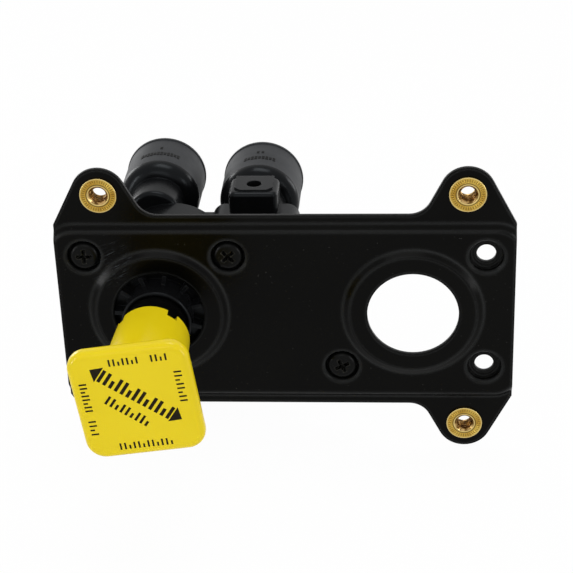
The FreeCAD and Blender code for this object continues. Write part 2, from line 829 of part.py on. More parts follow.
def cut_passages(body):
    """Drillings between the ports, the check valve, the spool bore and the exhaust."""
    check_x = local_x("right_port_x")
    side_hole(body, "check_bore", "XY_Plane", local_z("block_bottom"), (check_x, "check_y"),
              "check_bore_radius", "check_bore_top - block_bottom", True)
    side_hole(body, "check_link", "XY_Plane", local_z("check_bore_top"), (check_x, "check_y"),
              "check_link_radius", "right_port_z - check_bore_top", True)
    side_hole(body, "supply_link", "YZ_Plane", "0", ("check_y + link_radius", "0"),
              "link_radius", check_x, True)
    side_hole(body, "delivery_link", "XY_Plane", "0",
              (local_x("left_port_x"), "spool_bore_end - passage_radius"), "link_radius",
              local_z("left_port_z"), True)
    side_hole(body, "exhaust_bore", "XY_Plane", "-barrel_radius - exhaust_stub_drop", ("0", "exhaust_y"),
              "exhaust_bore_radius", "barrel_radius + exhaust_stub_drop - chamber_radius / 2", True)


SPIGOT_END = f"{MOUNT_FACE} + collar_spigot_length"


def make_guide_collar():
    """Neck through the panel, with radial ribs, a flange on the barrel and a spigot in it."""
    body = new_body("guide_collar", (BODY_X, "0", BODY_Z))
    ring_front = f"{MOUNT_FACE} + ring_place"
    spigot = "(chamber_radius - seat_gap)"
    rib_radius = "(valve_hole_radius - slip_gap)"
    turned(body, "Revolution", "collar", [
        ("collar_bore_radius", "-collar_rim"),
        ("collar_radius", "-collar_rim"),
        ("collar_radius", f"{MOUNT_FACE} - collar_flange_wall"),
        (rib_radius, f"{MOUNT_FACE} - collar_flange_wall"),
        (rib_radius, MOUNT_FACE),
        (spigot, MOUNT_FACE),
        (spigot, ring_front),
        (f"{spigot} - ring_depth", ring_front),
        (f"{spigot} - ring_depth", f"{ring_front} + ring_section"),
        (spigot, f"{ring_front} + ring_section"),
        (spigot, SPIGOT_END),
        ("collar_bore_radius", SPIGOT_END),
    ])
    rim = -size("collar_rim")

    def rim_edge(edge):
        return on_level(edge, "Y", rim)

    round_edges(body, "rim_bevel", "collar_rim_bevel", rim_edge, "Chamfer")
    rib = front_pad(body, "rib", "-collar_rib_front",
                    box_corners("collar_radius - slip_gap", "-collar_rib_width / 2",
                                rib_radius, "collar_rib_width / 2"),
                    f"collar_rib_front + {MOUNT_FACE} - collar_flange_wall / 2", True, "collar_rib_phase")
    around(body, "ribs", rib, "collar_rib_count")
    return body


def make_collar_ring():
    """Snap ring that locks the spigot of the collar in the barrel."""
    ring_front = f"{MOUNT_FACE} + ring_place"
    make_ring("collar_ring", "chamber_radius - seat_gap - ring_depth + seat_gap",
              "chamber_radius + ring_depth - seat_gap", f"{ring_front} + seat_gap",
              f"{ring_front} + ring_section - seat_gap")


FLANGE_FRONT = f"{SPIGOT_END} + slip_gap"
FLANGE_BACK = f"{FLANGE_FRONT} + plunger_flange_wall"
SEAL_FRONT = f"{FLANGE_FRONT} + (plunger_flange_wall - seal_section) / 2"
SPOOL_SEAL_FRONT = "spool_end - seal_place"


def new_turned_body(label):
    """Start a sub-part on the valve axis, turned about it as the button stands."""
    body = new_body(label, (BODY_X, "0", BODY_Z))
    body.Placement.Rotation = FreeCAD.Rotation(FreeCAD.Vector(0, -1, 0), size("head_turn"))
    bind(body, "Placement.Rotation.Angle", "head_turn")
    return body


def make_plunger():
    """Turned plunger: the rod that carries the button, the stop flange and the spool."""
    body = new_turned_body("plunger")
    turned(body, "Revolution", "plunger", [
        ("0", "-plunger_front"),
        ("plunger_radius", "-plunger_front"),
        ("plunger_radius", FLANGE_FRONT),
        ("plunger_flange_radius", FLANGE_FRONT),
        ("plunger_flange_radius", SEAL_FRONT),
        ("plunger_flange_radius - seal_section", SEAL_FRONT),
        ("plunger_flange_radius - seal_section", f"{SEAL_FRONT} + seal_section"),
        ("plunger_flange_radius", f"{SEAL_FRONT} + seal_section"),
        ("plunger_flange_radius", FLANGE_BACK),
        ("spool_radius", FLANGE_BACK),
        ("spool_radius", f"{SPOOL_SEAL_FRONT} - seal_section / 2"),
        ("spool_radius - seal_section / 2", f"{SPOOL_SEAL_FRONT} - seal_section / 2"),
        ("spool_radius - seal_section / 2", f"{SPOOL_SEAL_FRONT} + seal_section / 2"),
        ("spool_radius", f"{SPOOL_SEAL_FRONT} + seal_section / 2"),
        ("spool_radius", "spool_end"),
        ("spring_well_radius", "spool_end"),
        ("spring_well_radius", "spring_well_front"),
        ("0", "spring_well_front"),
    ])
    pin_y = f"-({BUTTON_RIM}) - pin_place"
    sketch = new_sketch(body, "pin_hole_sketch", "XY_Plane")
    outline(sketch, pin_profile("pin_radius + pin_fit", "plunger_radius + slip_gap", pin_y))
    feature = turn_about(body, "pin_hole", sketch)
    checked(body, feature, False)
    return body


BUTTON_RIM = "collar_rim + travel + button_gap"


def pin_profile(radius, reach, pin_y):
    """Half section of a pin lying along X."""
    return box_corners(f"-({reach})", pin_y, reach, f"{pin_y} + {radius}")


def turn_about(body, name, sketch):
    """Cut a hole across the axis by a groove about the lower edge of its half section."""
    feature = body.newObject("PartDesign::Groove", name)
    feature.Profile = sketch
    feature.ReferenceAxis = (sketch, ["Edge2"])
    feature.Angle = 360
    body.Tip = feature
    return feature


PIN_Y = f"-({BUTTON_RIM}) - pin_place"


def make_button():
    """Square push button moulded in one with its tapered, notched skirt."""
    body = new_turned_body("push_button")
    face = f"-({BUTTON_RIM}) - button_depth"
    head_back = f"{face} + head_wall"
    half = "head_size / 2"
    front_pad(body, "head", face, rounded_box(f"-{half}", f"-{half}", half, half, "head_corner"),
              "head_wall")
    levels = (size(face), size(head_back))

    def head_edge(edge):
        return any(on_level(edge, "Y", level) for level in levels)

    round_edges(body, "head_rounds", "head_edge", head_edge)
    turned(body, "Revolution", "skirt", [
        ("0", f"-({BUTTON_RIM})"),
        ("skirt_rear_radius", f"-({BUTTON_RIM})"),
        ("skirt_front_radius", f"{head_back} - head_wall / 4"),
        ("0", f"{head_back} - head_wall / 4"),
    ])
    bore = "plunger_radius + skirt_bore_clearance"
    turned(body, "Groove", "skirt_bore", [
        ("0", f"-({BUTTON_RIM})"),
        (bore, f"-({BUTTON_RIM})"),
        (bore, "-plunger_front - seat_gap"),
        ("0", "-plunger_front - seat_gap"),
    ])
    sketch = new_sketch(body, "notch_sketch", "XZ_Plane", ("0", "0", BUTTON_RIM), "45")
    outline(sketch, box_corners("plunger_radius", "-skirt_notch_width / 2",
                                "skirt_front_radius + 1", "skirt_notch_width / 2"))
    notch = extrude(body, "Pocket", "notch", sketch, "skirt_notch_depth", False)
    checked(body, notch, False)
    around(body, "notches", notch, "skirt_notch_count")
    sketch = new_sketch(body, "pin_hole_sketch", "XY_Plane")
    outline(sketch, pin_profile("pin_radius + pin_fit", "skirt_front_radius + 1", PIN_Y))
    feature = turn_about(body, "pin_hole", sketch)
    checked(body, feature, False)
    return body


def make_button_pin():
    """Spring pin through the skirt and the plunger."""
    body = new_turned_body("button_pin")
    reach = "(skirt_rear_radius - pin_inset)"
    sketch = new_sketch(body, "pin_sketch", "YZ_Plane", ("0", "0", f"-{reach}"))
    circle(sketch, PIN_Y, "0", "pin_radius")
    circle(sketch, PIN_Y, "0", "pin_radius / 2")
    extrude(body, "Pad", "pin", sketch, f"2 * {reach}", False)
    return body


def make_ring(name, inner, outer, front, back, place=(BODY_X, "0", BODY_Z), corner="0"):
    """Ring of rectangular section, with cut corners where a size for them is given."""
    body = new_body(name, place)
    if corner == "0":
        corners = [(inner, front), (outer, front), (outer, back), (inner, back)]
    else:
        corners = [
            (f"{inner} + {corner}", front),
            (f"{outer} - {corner}", front),
            (outer, f"{front} + {corner}"),
            (outer, f"{back} - {corner}"),
            (f"{outer} - {corner}", back),
            (f"{inner} + {corner}", back),
            (inner, f"{back} - {corner}"),
            (inner, f"{front} + {corner}"),
        ]
    turned(body, "Revolution", "ring", corners)
    return body


def make_plunger_pieces():
    """Seals of the flange and the spool, the spring and the seat that it turns on."""
    make_ring("flange_seal", "plunger_flange_radius - seal_section + seat_gap",
              "plunger_flange_radius + slip_gap / 3", f"{SEAL_FRONT} + seat_gap / 2",
              f"{SEAL_FRONT} + seal_section - seat_gap / 2", corner="seal_section / 4")
    make_ring("spool_seal", "spool_radius - seal_section / 2 + seat_gap",
              "spool_radius + slip_gap / 3", f"{SPOOL_SEAL_FRONT} - seal_section / 2 + seat_gap / 2",
              f"{SPOOL_SEAL_FRONT} + seal_section / 2 - seat_gap / 2", corner="seal_section / 5")
    seat = new_body("spring_seat", (BODY_X, "0", BODY_Z))
    turned(seat, "Revolution", "seat", [
        ("0", "spring_well_front + slip_gap"),
        ("spring_well_radius - slip_gap", "spring_well_front + slip_gap"),
        ("spring_well_radius - slip_gap", "spring_well_front + slip_gap + spring_seat_wall"),
        ("spring_radius - spring_wire", "spring_well_front + slip_gap + spring_seat_wall"),
        ("spring_radius - spring_wire", "spring_well_front + slip_gap + 2 * spring_seat_wall"),
        ("0", "spring_well_front + slip_gap + 2 * spring_seat_wall"),
    ])
    make_spring()


def make_spring():
    """Return spring between its seat in the plunger and the end of the spool bore."""
    spring = new_body("return_spring", (BODY_X, "0", BODY_Z))
    front = "(spring_well_front + slip_gap + spring_seat_wall + seat_gap + spring_wire / 2)"
    sketch = new_sketch(spring, "wire_sketch", "XY_Plane")
    half = "spring_wire / 2"
    outline(sketch, box_corners(f"spring_radius - {half}", f"{front} - {half}",
                                f"spring_radius + {half}", f"{front} + {half}"))
    coil = spring.newObject("PartDesign::AdditiveHelix", "coil")
    coil.Profile = sketch
    coil.ReferenceAxis = (sketch, ["V_Axis"])
    coil.Mode = "height-turns-growth"
    bind(coil, "Height", f"spool_bore_end - seat_gap - spring_wire / 2 - {front}")
    bind(coil, "Turns", "spring_turns")
    spring.Tip = coil
    doc.recompute()
    return spring


def make_port_pieces(name):
    """Cartridge, release collet, grab ring and tube seal of one port."""
    x, z, rim = PORTS[name][:3]
    place = (x, rim, z)
    cartridge_front = "-cartridge_length"
    ring_front = f"{cartridge_front} - seat_gap - grab_ring_wall"
    fit = "(socket_radius - seat_gap)"
    body = new_body(f"{name}_cartridge", place)
    turned(body, "Revolution", "cartridge", [
        ("cartridge_bore_radius", cartridge_front),
        (f"{fit} - seat_gap", cartridge_front),
        (fit, f"{cartridge_front} + seat_gap"),
        (fit, "-seat_gap"),
        ("collet_flange_radius - port_rim_round", "-seat_gap"),
        ("cartridge_bore_radius", "-cartridge_length / 6"),
    ])
    collet = new_body(f"{name}_collet", place)
    flange_front = "(collet_travel + slip_gap)"
    turned(collet, "Revolution", "collet", [
        ("collet_bore_radius", "-collet_reach"),
        ("collet_radius - seat_gap", "-collet_reach"),
        ("collet_radius", "-collet_reach + seat_gap"),
        ("collet_radius", flange_front),
        ("collet_flange_radius", flange_front),
        ("collet_flange_radius", f"{flange_front} + collet_flange_wall / 2"),
        ("collet_flange_radius - collet_flange_wall / 2", f"{flange_front} + collet_flange_wall"),
        ("collet_bore_radius + collet_flange_wall / 3", f"{flange_front} + collet_flange_wall"),
        ("collet_bore_radius", f"{flange_front} + collet_flange_wall * 2 / 3"),
    ])
    make_grab_ring(name, place, ring_front, fit)
    seal_front = f"{ring_front} - seat_gap - 2 * tube_seal_section"
    make_ring(f"{name}_tube_seal", "collet_bore_radius", f"{fit}", seal_front,
              f"{ring_front} - seat_gap", place, "tube_seal_section / 2")


def make_grab_ring(name, place, ring_front, fit):
    """Thin steel ring with teeth that lean in on the tube."""
    body = new_body(f"{name}_grab_ring", place)
    turned(body, "Revolution", "ring", [
        ("collet_bore_radius + seat_gap", ring_front),
        (fit, ring_front),
        (fit, f"{ring_front} + grab_ring_wall"),
        ("collet_bore_radius + seat_gap", f"{ring_front} + grab_ring_wall"),
    ])
    sketch = new_sketch(body, "slot_sketch", "XZ_Plane", ("0", "0", f"0 - ({ring_front})"))
    outline(sketch, box_corners("0", "-grab_ring_wall", f"{fit} - 3 * grab_ring_wall", "grab_ring_wall"))
    slot = extrude(body, "Pocket", "slot", sketch, "4 * grab_ring_wall")
    slot.Midplane = True
    checked(body, slot, False)
    around(body, "slots", slot, "grab_ring_teeth")


def upright(body, kind, name, corners):
    """Turn a profile of (radius, height) corners about the body's upright axis."""
    sketch = new_sketch(body, f"{name}_sketch", "XZ_Plane")
    outline(sketch, corners)
    feature = turn(body, kind, name, sketch)
    checked(body, feature, kind == "Revolution")
    return feature


def make_check_valve():
    """Shuttle, lower seat and plug of the double check valve."""
    axis = ("right_port_x", "check_y", "0")
    seat = new_body("check_seat", axis)
    upright(seat, "Revolution", "seat", [
        ("check_link_radius", "check_seat_top - check_seat_wall"),
        ("check_bore_radius - seat_gap / 2", "check_seat_top - check_seat_wall"),
        ("check_bore_radius - seat_gap / 2", "check_seat_top"),
        ("check_link_radius + check_seat_wall / 3", "check_seat_top"),
        ("check_link_radius", "check_seat_top - check_seat_wall / 3"),
    ])
    shuttle = new_body("check_shuttle", axis)
    low = "check_seat_top + slip_gap"
    high = f"{low} + shuttle_length"
    disc = "check_bore_radius - slip_gap"
    upright(shuttle, "Revolution", "shuttle", [
        ("0", low),
        (disc, low),
        (disc, f"{low} + shuttle_disc_wall"),
        ("shuttle_waist_radius", f"{low} + shuttle_disc_wall * 1.4"),
        ("shuttle_waist_radius", f"{high} - shuttle_disc_wall * 1.4"),
        (disc, f"{high} - shuttle_disc_wall"),
        (disc, high),
        ("0", high),
    ])
    plug = new_body("check_plug", axis)
    upright(plug, "Revolution", "plug", [
        ("0", "block_bottom - plug_head_wall"),
        ("plug_head_radius", "block_bottom - plug_head_wall"),
        ("plug_head_radius", "block_bottom"),
        ("check_bore_radius - seat_gap / 2", "block_bottom"),
        ("check_bore_radius - seat_gap / 2", "block_bottom + plug_length"),
        ("0", "block_bottom + plug_length"),
    ])


def make_exhaust_flap():
    """Rubber flap under the exhaust stub, with the stem that holds it."""
    body = new_body("exhaust_flap", (BODY_X, "exhaust_y", BODY_Z))
    foot = "-barrel_radius - exhaust_stub_drop"
    upright(body, "Revolution", "flap", [
        ("0", f"{foot} - exhaust_flap_wall"),
        ("exhaust_stub_radius", f"{foot} - exhaust_flap_wall"),
        ("exhaust_stub_radius", foot),
        ("exhaust_stem_radius", foot),
        ("exhaust_stem_radius", "-barrel_radius"),
        ("exhaust_stem_radius * 2", "-barrel_radius"),
        ("exhaust_stem_radius", "-barrel_radius + exhaust_flap_wall"),
        ("0", "-barrel_radius + exhaust_flap_wall"),
    ])


def main():
    make_panel_plate()
    for name, side_x, side_z in (("insert_top_left", -1, 1), ("insert_top_right", 1, 1),
                                 ("insert_bottom_left", -1, -1), ("insert_bottom_right", 1, -1)):
        make_insert(name, side_x, side_z)
    turns = ("0", "45", "0", "25")
    for number, centre in enumerate(SCREWED_CUPS):
        make_panel_screw(f"panel_screw_{number + 1}", centre, turns[number])
    make_valve_body()
    make_guide_collar()
    make_collar_ring()
    make_plunger()
    make_button()
    make_button_pin()
    make_plunger_pieces()
    for name in PORTS:
        make_port_pieces(name)
    make_check_valve()
    make_exhaust_flap()


def sound(thing):
    """True where an object has no fault of its own and a sound shape, if it has one."""
    if {"Invalid", "Error"} & set(thing.State):
        return False
    shape = getattr(thing, "Shape", None)
    return shape is None or (not shape.isNull() and shape.isValid())


def write_parts():
    """Every object is looked at first. Nothing is written if one of them has a fault."""
    faults = [thing.Name for thing in doc.Objects if not sound(thing)]
    bodies = doc.findObjects("PartDesign::Body")
    faults += [body.Label for body in bodies if len(body.Shape.Solids) != 1]
    if faults:
        raise RuntimeError("faulty objects: " + ", ".join(faults))
    os.makedirs("parts", exist_ok=True)
    for body in bodies:
        body.Shape.exportStep(f"parts/{body.Label}.step")
        print(body.Label, round(body.Shape.Volume, 1))


main()
doc.recompute()
write_parts()
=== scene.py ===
"""Looks of the dash control valve: finishes, fine detail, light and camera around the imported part."""
import json
import math
import bmesh
import bpy
from mathutils import Matrix, Vector


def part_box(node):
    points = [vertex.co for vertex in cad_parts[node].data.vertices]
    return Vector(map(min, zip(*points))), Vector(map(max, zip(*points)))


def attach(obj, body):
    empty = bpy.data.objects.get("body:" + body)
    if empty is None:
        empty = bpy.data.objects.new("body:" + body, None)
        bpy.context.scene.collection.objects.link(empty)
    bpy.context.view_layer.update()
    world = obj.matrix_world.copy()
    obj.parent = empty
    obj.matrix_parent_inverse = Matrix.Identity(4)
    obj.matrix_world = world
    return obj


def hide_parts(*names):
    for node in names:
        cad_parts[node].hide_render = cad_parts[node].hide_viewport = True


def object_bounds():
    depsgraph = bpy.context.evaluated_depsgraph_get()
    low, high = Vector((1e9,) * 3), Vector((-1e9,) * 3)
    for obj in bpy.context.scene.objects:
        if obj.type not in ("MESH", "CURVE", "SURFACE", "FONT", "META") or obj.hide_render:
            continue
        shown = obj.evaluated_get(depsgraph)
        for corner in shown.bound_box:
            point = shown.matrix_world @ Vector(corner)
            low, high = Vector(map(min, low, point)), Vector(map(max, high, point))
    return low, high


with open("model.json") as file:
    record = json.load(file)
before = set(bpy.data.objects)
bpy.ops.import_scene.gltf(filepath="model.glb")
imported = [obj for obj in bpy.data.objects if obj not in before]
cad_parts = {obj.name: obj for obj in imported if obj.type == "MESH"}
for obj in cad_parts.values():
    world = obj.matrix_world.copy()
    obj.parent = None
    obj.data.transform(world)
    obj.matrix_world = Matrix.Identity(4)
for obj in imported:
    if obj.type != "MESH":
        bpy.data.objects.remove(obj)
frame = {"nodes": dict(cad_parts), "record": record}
cad_bounds = [list(corner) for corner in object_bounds()]

MM = 0.001
MOUNTS = {mount["name"]: mount for mount in frame["record"]["mounts"]}
INSERT_X = MOUNTS["panel_inserts"]["dims"]["spacing_x_mm"] / 2 * MM
INSERT_Z = MOUNTS["panel_inserts"]["dims"]["spacing_y_mm"] / 2 * MM
INSERT_BORE = MOUNTS["panel_inserts"]["dims"]["hole_r_mm"] * MM
INSERTS = ("insert_top_left", "insert_top_right", "insert_bottom_left", "insert_bottom_right")
SCREWS = ("panel_screw_1", "panel_screw_2", "panel_screw_3", "panel_screw_4")
# Port barrels: the left one starts a step further back, and each ends in a bevelled rim, whose bevel gets a
# painted lighter tone.
PORT_DIVIDE = -32 * MM
BARREL_START = 58.7 * MM
BARREL_STAGGER = 1.0 * MM
BARREL_BLUR = 0.2 * MM
RIM_START = 20.4 * MM
RIM_END = 21.25 * MM
RIM_FADE = 0.15 * MM
# Turned marks on the inserts, by their radius, with painted shade in the bore and on the flange round the
# mouth, and painted highlights on the mouth's and the flange's edges.
RING_PITCH = 0.22 * MM
INSERT_REACH = 7.0 * MM
TICK_COUNT = 40
TICK_RING = 5.15 * MM
TICK_WIDTH = 0.75 * MM
BORE_SHADE = 3.4 * MM
STEP_SHADE_RING = 4.05 * MM
STEP_SHADE_WIDTH = 0.3 * MM
MOUTH_EDGE = 3.65 * MM
FLANGE_EDGE = 6.2 * MM
EDGE_WIDTH = 0.25 * MM
# Scuffs in the panel's paint, and the turn of the print on the button's face.
SCUFF_PLACE = (-60 * MM, 0.0, 20 * MM)
SCUFF_REACH = 10 * MM
SCUFF_TURN = math.radians(-28)
BUTTON_TURN = math.radians(8.0)
# Scales of the noise over the part in metres, from broad clouds to fine grain.
CLOUDS = 22
FLOW = 38
SMEARS = 160
WAVES = 190
GRAIN = 2600
# Colours of the finishes. A pair is the two ends of a tone.
TONES = {
    "paint": ((0.0007, 0.0007, 0.0005), (0.0018, 0.0018, 0.0014)),
    "dust": (0.03, 0.03, 0.028),
    # Painted highlight along the paint's bends and edges.
    "painted_bend_highlight": (0.022, 0.023, 0.023),
    "scuff": (0.062, 0.070, 0.080),
    "brass": ((0.36, 0.20, 0.026), (0.60, 0.42, 0.085)),
    # Painted shade inside the bore, with painted glints.
    "brass_bore_shade_and_glints": ((0.13, 0.065, 0.014), (0.50, 0.33, 0.13)),
    # Painted shade on the flange round the mouth.
    "brass_step_shade": (0.10, 0.055, 0.012),
    # Painted highlight on the insert's edges.
    "brass_edge_highlight": (0.80, 0.66, 0.32),
    "brass_tick": (0.13, 0.065, 0.012),
    "composite": ((0.0030, 0.0031, 0.0034), (0.0054, 0.0056, 0.0061)),
    "matt_composite": ((0.0170, 0.0175, 0.0190), (0.0230, 0.0236, 0.0255)),
    # Painted light on the bevel of the port rims.
    "composite_painted_rim_light": (0.058, 0.060, 0.065),
    "plunger": ((0.0012, 0.0012, 0.0012), (0.0028, 0.0028, 0.0028)),
    "collet": ((0.006, 0.006, 0.0065), (0.011, 0.011, 0.012)),
    "mark": ((0.004, 0.004, 0.004), (0.008, 0.008, 0.008)),
    "yellow": ((0.740, 0.570, 0.0060), (0.780, 0.605, 0.0100)),
    "ink": ((0.030, 0.020, 0.004), (0.010, 0.007, 0.003)),
    "steel": ((0.36, 0.36, 0.37), (0.60, 0.60, 0.61)),
    "rubber": ((0.012, 0.012, 0.012), (0.022, 0.022, 0.022)),
    "oxide": ((0.0014, 0.0015, 0.0014), (0.0040, 0.0042, 0.0040)),
    # Worn oxide on the screw's edges, which is also a painted highlight.
    "oxide_wear_and_highlight": (0.110, 0.106, 0.088),
}


def middle(node):
    """Return the middle of a node's box."""
    low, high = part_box(node)
    return (Vector(low) + Vector(high)) / 2


class Finish:
    """A node-based material with short calls for the nodes that every finish here needs."""

    def __init__(self, name, **sockets):
        self.material = bpy.data.materials.new(name)
        self.material.use_nodes = True
        self.tree = self.material.node_tree
        self.shader = self.tree.nodes["Principled BSDF"]
        for label, value in sockets.items():
            self.shader.inputs[label.replace("_", " ")].default_value = value
        self.place = self.node("ShaderNodeTexCoord").outputs["Object"]

    def node(self, kind, **settings):
        made = self.tree.nodes.new(kind)
        for field, value in settings.items():
            setattr(made, field, value)
        return made

    def join(self, source, target):
        """Link an output to an input."""
        self.tree.links.new(source, target)
        return target

    def noise(self, scale, detail=3.0, rough=0.5, place=None):
        """Return a grey noise over the place on the part."""
        made = self.node("ShaderNodeTexNoise")
        made.inputs["Scale"].default_value = scale
        made.inputs["Detail"].default_value = detail
        made.inputs["Roughness"].default_value = rough
        self.join(place or self.place, made.inputs["Vector"])
        return made.outputs["Fac"]

    def math(self, operation, first, second=0.0):
        """Return the result of one sum, whose values are numbers or outputs."""
        made = self.node("ShaderNodeMath", operation=operation)
        for socket, value in zip(made.inputs, (first, second)):
            if isinstance(value, (int, float)):
                socket.default_value = value
            else:
                self.join(value, socket)
        return made.outputs[0]

    def spread(self, source, low, high, start=0.3, end=0.7):
        """Map a grey texture onto a range."""
        made = self.node("ShaderNodeMapRange")
        for label, value in (("From Min", start), ("From Max", end), ("To Min", low), ("To Max", high)):
            made.inputs[label].default_value = value
        self.join(source, made.inputs["Value"])
        return made.outputs["Result"]

    def blend(self, factor, first, second):
        """Mix two colours."""
        made = self.node("ShaderNodeMix", data_type="RGBA")
        self.join(factor, made.inputs["Factor"])
        for label, colour in (("A", first), ("B", second)):
            sockets = [socket for socket in made.inputs if socket.name == label and socket.type == "RGBA"]
            if isinstance(colour, tuple):
                sockets[0].default_value = (*colour, 1.0)
            else:
                self.join(colour, sockets[0])
        return [socket for socket in made.outputs if socket.type == "RGBA"][0]

    def colour(self, source):
        self.join(source, self.shader.inputs["Base Color"])

    def roughness(self, source):
        self.join(source, self.shader.inputs["Roughness"])

    def bump(self, height, distance, strength=1.0, below=None):
        """Return a normal that is raised by a grey texture, over another normal where one is given."""
        made = self.node("ShaderNodeBump")
        made.inputs["Distance"].default_value = distance
        made.inputs["Strength"].default_value = strength
        self.join(height, made.inputs["Height"])
        if below is not None:
            self.join(below, made.inputs["Normal"])
        return made.outputs["Normal"]

    def stretched(self, scale, turn):
        """Return the place turned about the axis into the dash, then divided by a scale along each axis."""
        made = self.node("ShaderNodeMapping", vector_type="TEXTURE")
        made.inputs["Scale"].default_value = scale
        made.inputs["Rotation"].default_value = (0.0, turn, 0.0)
        self.join(self.place, made.inputs["Vector"])
        return made.outputs["Vector"]

    def rounded(self, radius):
        """Return the normal that the edges would have with a small round."""
        made = self.node("ShaderNodeBevel", samples=4)
        made.inputs["Radius"].default_value = radius
        return made.outputs["Normal"]

    def patch(self, centre, reach):
        """Return a soft round mask about a place."""
        away = self.node("ShaderNodeVectorMath", operation="DISTANCE")
        away.inputs[1].default_value = centre
        self.join(self.place, away.inputs[0])
        return self.spread(away.outputs["Value"], 1.0, 0.0, reach / 3, reach)

    def axis(self, label):
        """Return one coordinate of the place."""
        made = self.node("ShaderNodeSeparateXYZ")
        self.join(self.place, made.inputs[0])
        return made.outputs[label]

    def normal(self, source):
        self.join(source, self.shader.inputs["Normal"])

    def edges(self, radius):
        """Return a mask that is bright where the surface bends within the radius."""
        bevel = self.node("ShaderNodeBevel", samples=4)
        bevel.inputs["Radius"].default_value = radius
        plain = self.node("ShaderNodeNewGeometry").outputs["Normal"]
        dot = self.node("ShaderNodeVectorMath", operation="DOT_PRODUCT")
        self.join(bevel.outputs["Normal"], dot.inputs[0])
        self.join(plain, dot.inputs[1])
        return self.math("SUBTRACT", 1.0, dot.outputs["Value"])


def painted_steel():
    """Satin black paint: orange peel, faint dust, short scuffs and a painted highlight along the bends and
    edges.
    """
    finish = Finish("black_paint", Specular_IOR_Level=0.06)
    base = finish.blend(finish.spread(finish.noise(CLOUDS, 4), 0.0, 1.0), *TONES["paint"])
    dust = finish.spread(finish.noise(1500, 2, 0.4), 0.0, 1.0, 0.745, 0.78)
    base = finish.blend(dust, base, TONES["dust"])
    # Painted highlight: a lighter band along the bends, standing in for the light that catches them.
    bend = finish.edges(1.8 * MM)
    edge_highlight = finish.math("MULTIPLY", finish.spread(bend, 0.0, 1.0, 0.003, 0.03),
                       finish.spread(bend, 1.0, 0.0, 0.09, 0.18))
    base = finish.blend(edge_highlight, base, TONES["painted_bend_highlight"])
    brushed = finish.noise(260, 5, 0.7, finish.stretched((1.2, 1.0, 0.12), SCUFF_TURN))
    streaks = finish.spread(brushed, 0.0, 1.0, 0.56, 0.72)
    scuffed = finish.math("MULTIPLY", streaks, finish.patch(SCUFF_PLACE, SCUFF_REACH))
    finish.colour(finish.blend(scuffed, base, TONES["scuff"]))
    smear = finish.spread(finish.noise(70, 5, 0.6), 0.15, 0.26)
    finish.roughness(finish.math("ADD", smear, finish.math("MULTIPLY", streaks, 0.10)))
    peel = finish.bump(finish.noise(1900, 2), 0.010 * MM, 0.45, finish.rounded(1.4 * MM))
    finish.normal(finish.bump(finish.noise(320, 2), 0.03 * MM, 0.3, peel))
    return finish.material


def turned_brass():
    """Turned brass with marks about each insert's axis: rings and ticks, with painted shade in the bore and
    on the flange round the mouth, and painted highlights on the edges.
    """
    finish = Finish("turned_brass", Metallic=1.0)
    across = finish.math("SUBTRACT", finish.math("ABSOLUTE", finish.axis("X")), INSERT_X)
    upward = finish.math("SUBTRACT", finish.math("ABSOLUTE", finish.axis("Z")), INSERT_Z)
    radius = finish.math("SQRT", finish.math("ADD", finish.math("MULTIPLY", across, across),
                                             finish.math("MULTIPLY", upward, upward)))
    turn = finish.math("ARCTAN2", upward, across)

    def ring(centre, half_width):
        """Return a mask that fades on both sides of one radius."""
        away = finish.math("ABSOLUTE", finish.math("SUBTRACT", radius, centre))
        return finish.spread(away, 1.0, 0.0, half_width / 2, half_width)

    teeth = finish.spread(finish.math("SINE", finish.math("MULTIPLY", turn, TICK_COUNT)), 0.0, 1.0, 0.1, 0.5)
    ticks = finish.math("MULTIPLY", teeth, ring(TICK_RING, TICK_WIDTH))
    tone = finish.blend(finish.spread(finish.noise(WAVES, 3, 0.5), 0.0, 1.0), *TONES["brass"])
    # Painted shade inside the bore, broken by painted glints on the thread.
    bore = finish.spread(radius, 1.0, 0.0, BORE_SHADE, BORE_SHADE + EDGE_WIDTH)
    bore_glints = finish.spread(finish.noise(620, 3, 0.6), 0.0, 1.0, 0.42, 0.58)
    tone = finish.blend(bore, tone, finish.blend(bore_glints, *TONES["brass_bore_shade_and_glints"]))
    # Painted shade: a soft dark ring on the flange's face round the mouth.
    step_shade = finish.math("MULTIPLY", ring(STEP_SHADE_RING, STEP_SHADE_WIDTH), 0.75)
    tone = finish.blend(step_shade, tone, TONES["brass_step_shade"])
    # Painted highlights: thin bright rings on the mouth's edge and on the flange's outer edge.
    for edge in (MOUTH_EDGE, FLANGE_EDGE):
        tone = finish.blend(finish.math("MULTIPLY", ring(edge, EDGE_WIDTH), 0.5), tone, TONES["brass_edge_highlight"])
    finish.colour(finish.blend(finish.math("MULTIPLY", ticks, 0.65), tone, TONES["brass_tick"]))
    finish.roughness(finish.spread(finish.noise(900, 3), 0.14, 0.25))
    on_insert = finish.math("LESS_THAN", radius, INSERT_REACH)
    wave = finish.math("SINE", finish.math("MULTIPLY", radius, 2 * math.pi / RING_PITCH))
    rings = finish.math("MULTIPLY", on_insert, wave)
    ring_bump = finish.bump(rings, 0.004 * MM, 0.5, finish.rounded(0.22 * MM))
    cut_bump = finish.bump(finish.math("SUBTRACT", 1.0, ticks), 0.08 * MM, 0.8, ring_bump)
    finish.normal(finish.bump(finish.noise(GRAIN, 2), 0.006 * MM, 0.5, cut_bump))
    return finish.material


def moulded_relief(finish, grain, waves, edge):
    """Fine grain over slow waves, each a depth and a strength, on edges with a small round."""
    fine = finish.bump(finish.noise(GRAIN, 3, 0.6), *grain, finish.rounded(edge))
    finish.normal(finish.bump(finish.noise(WAVES, 3), *waves, fine))


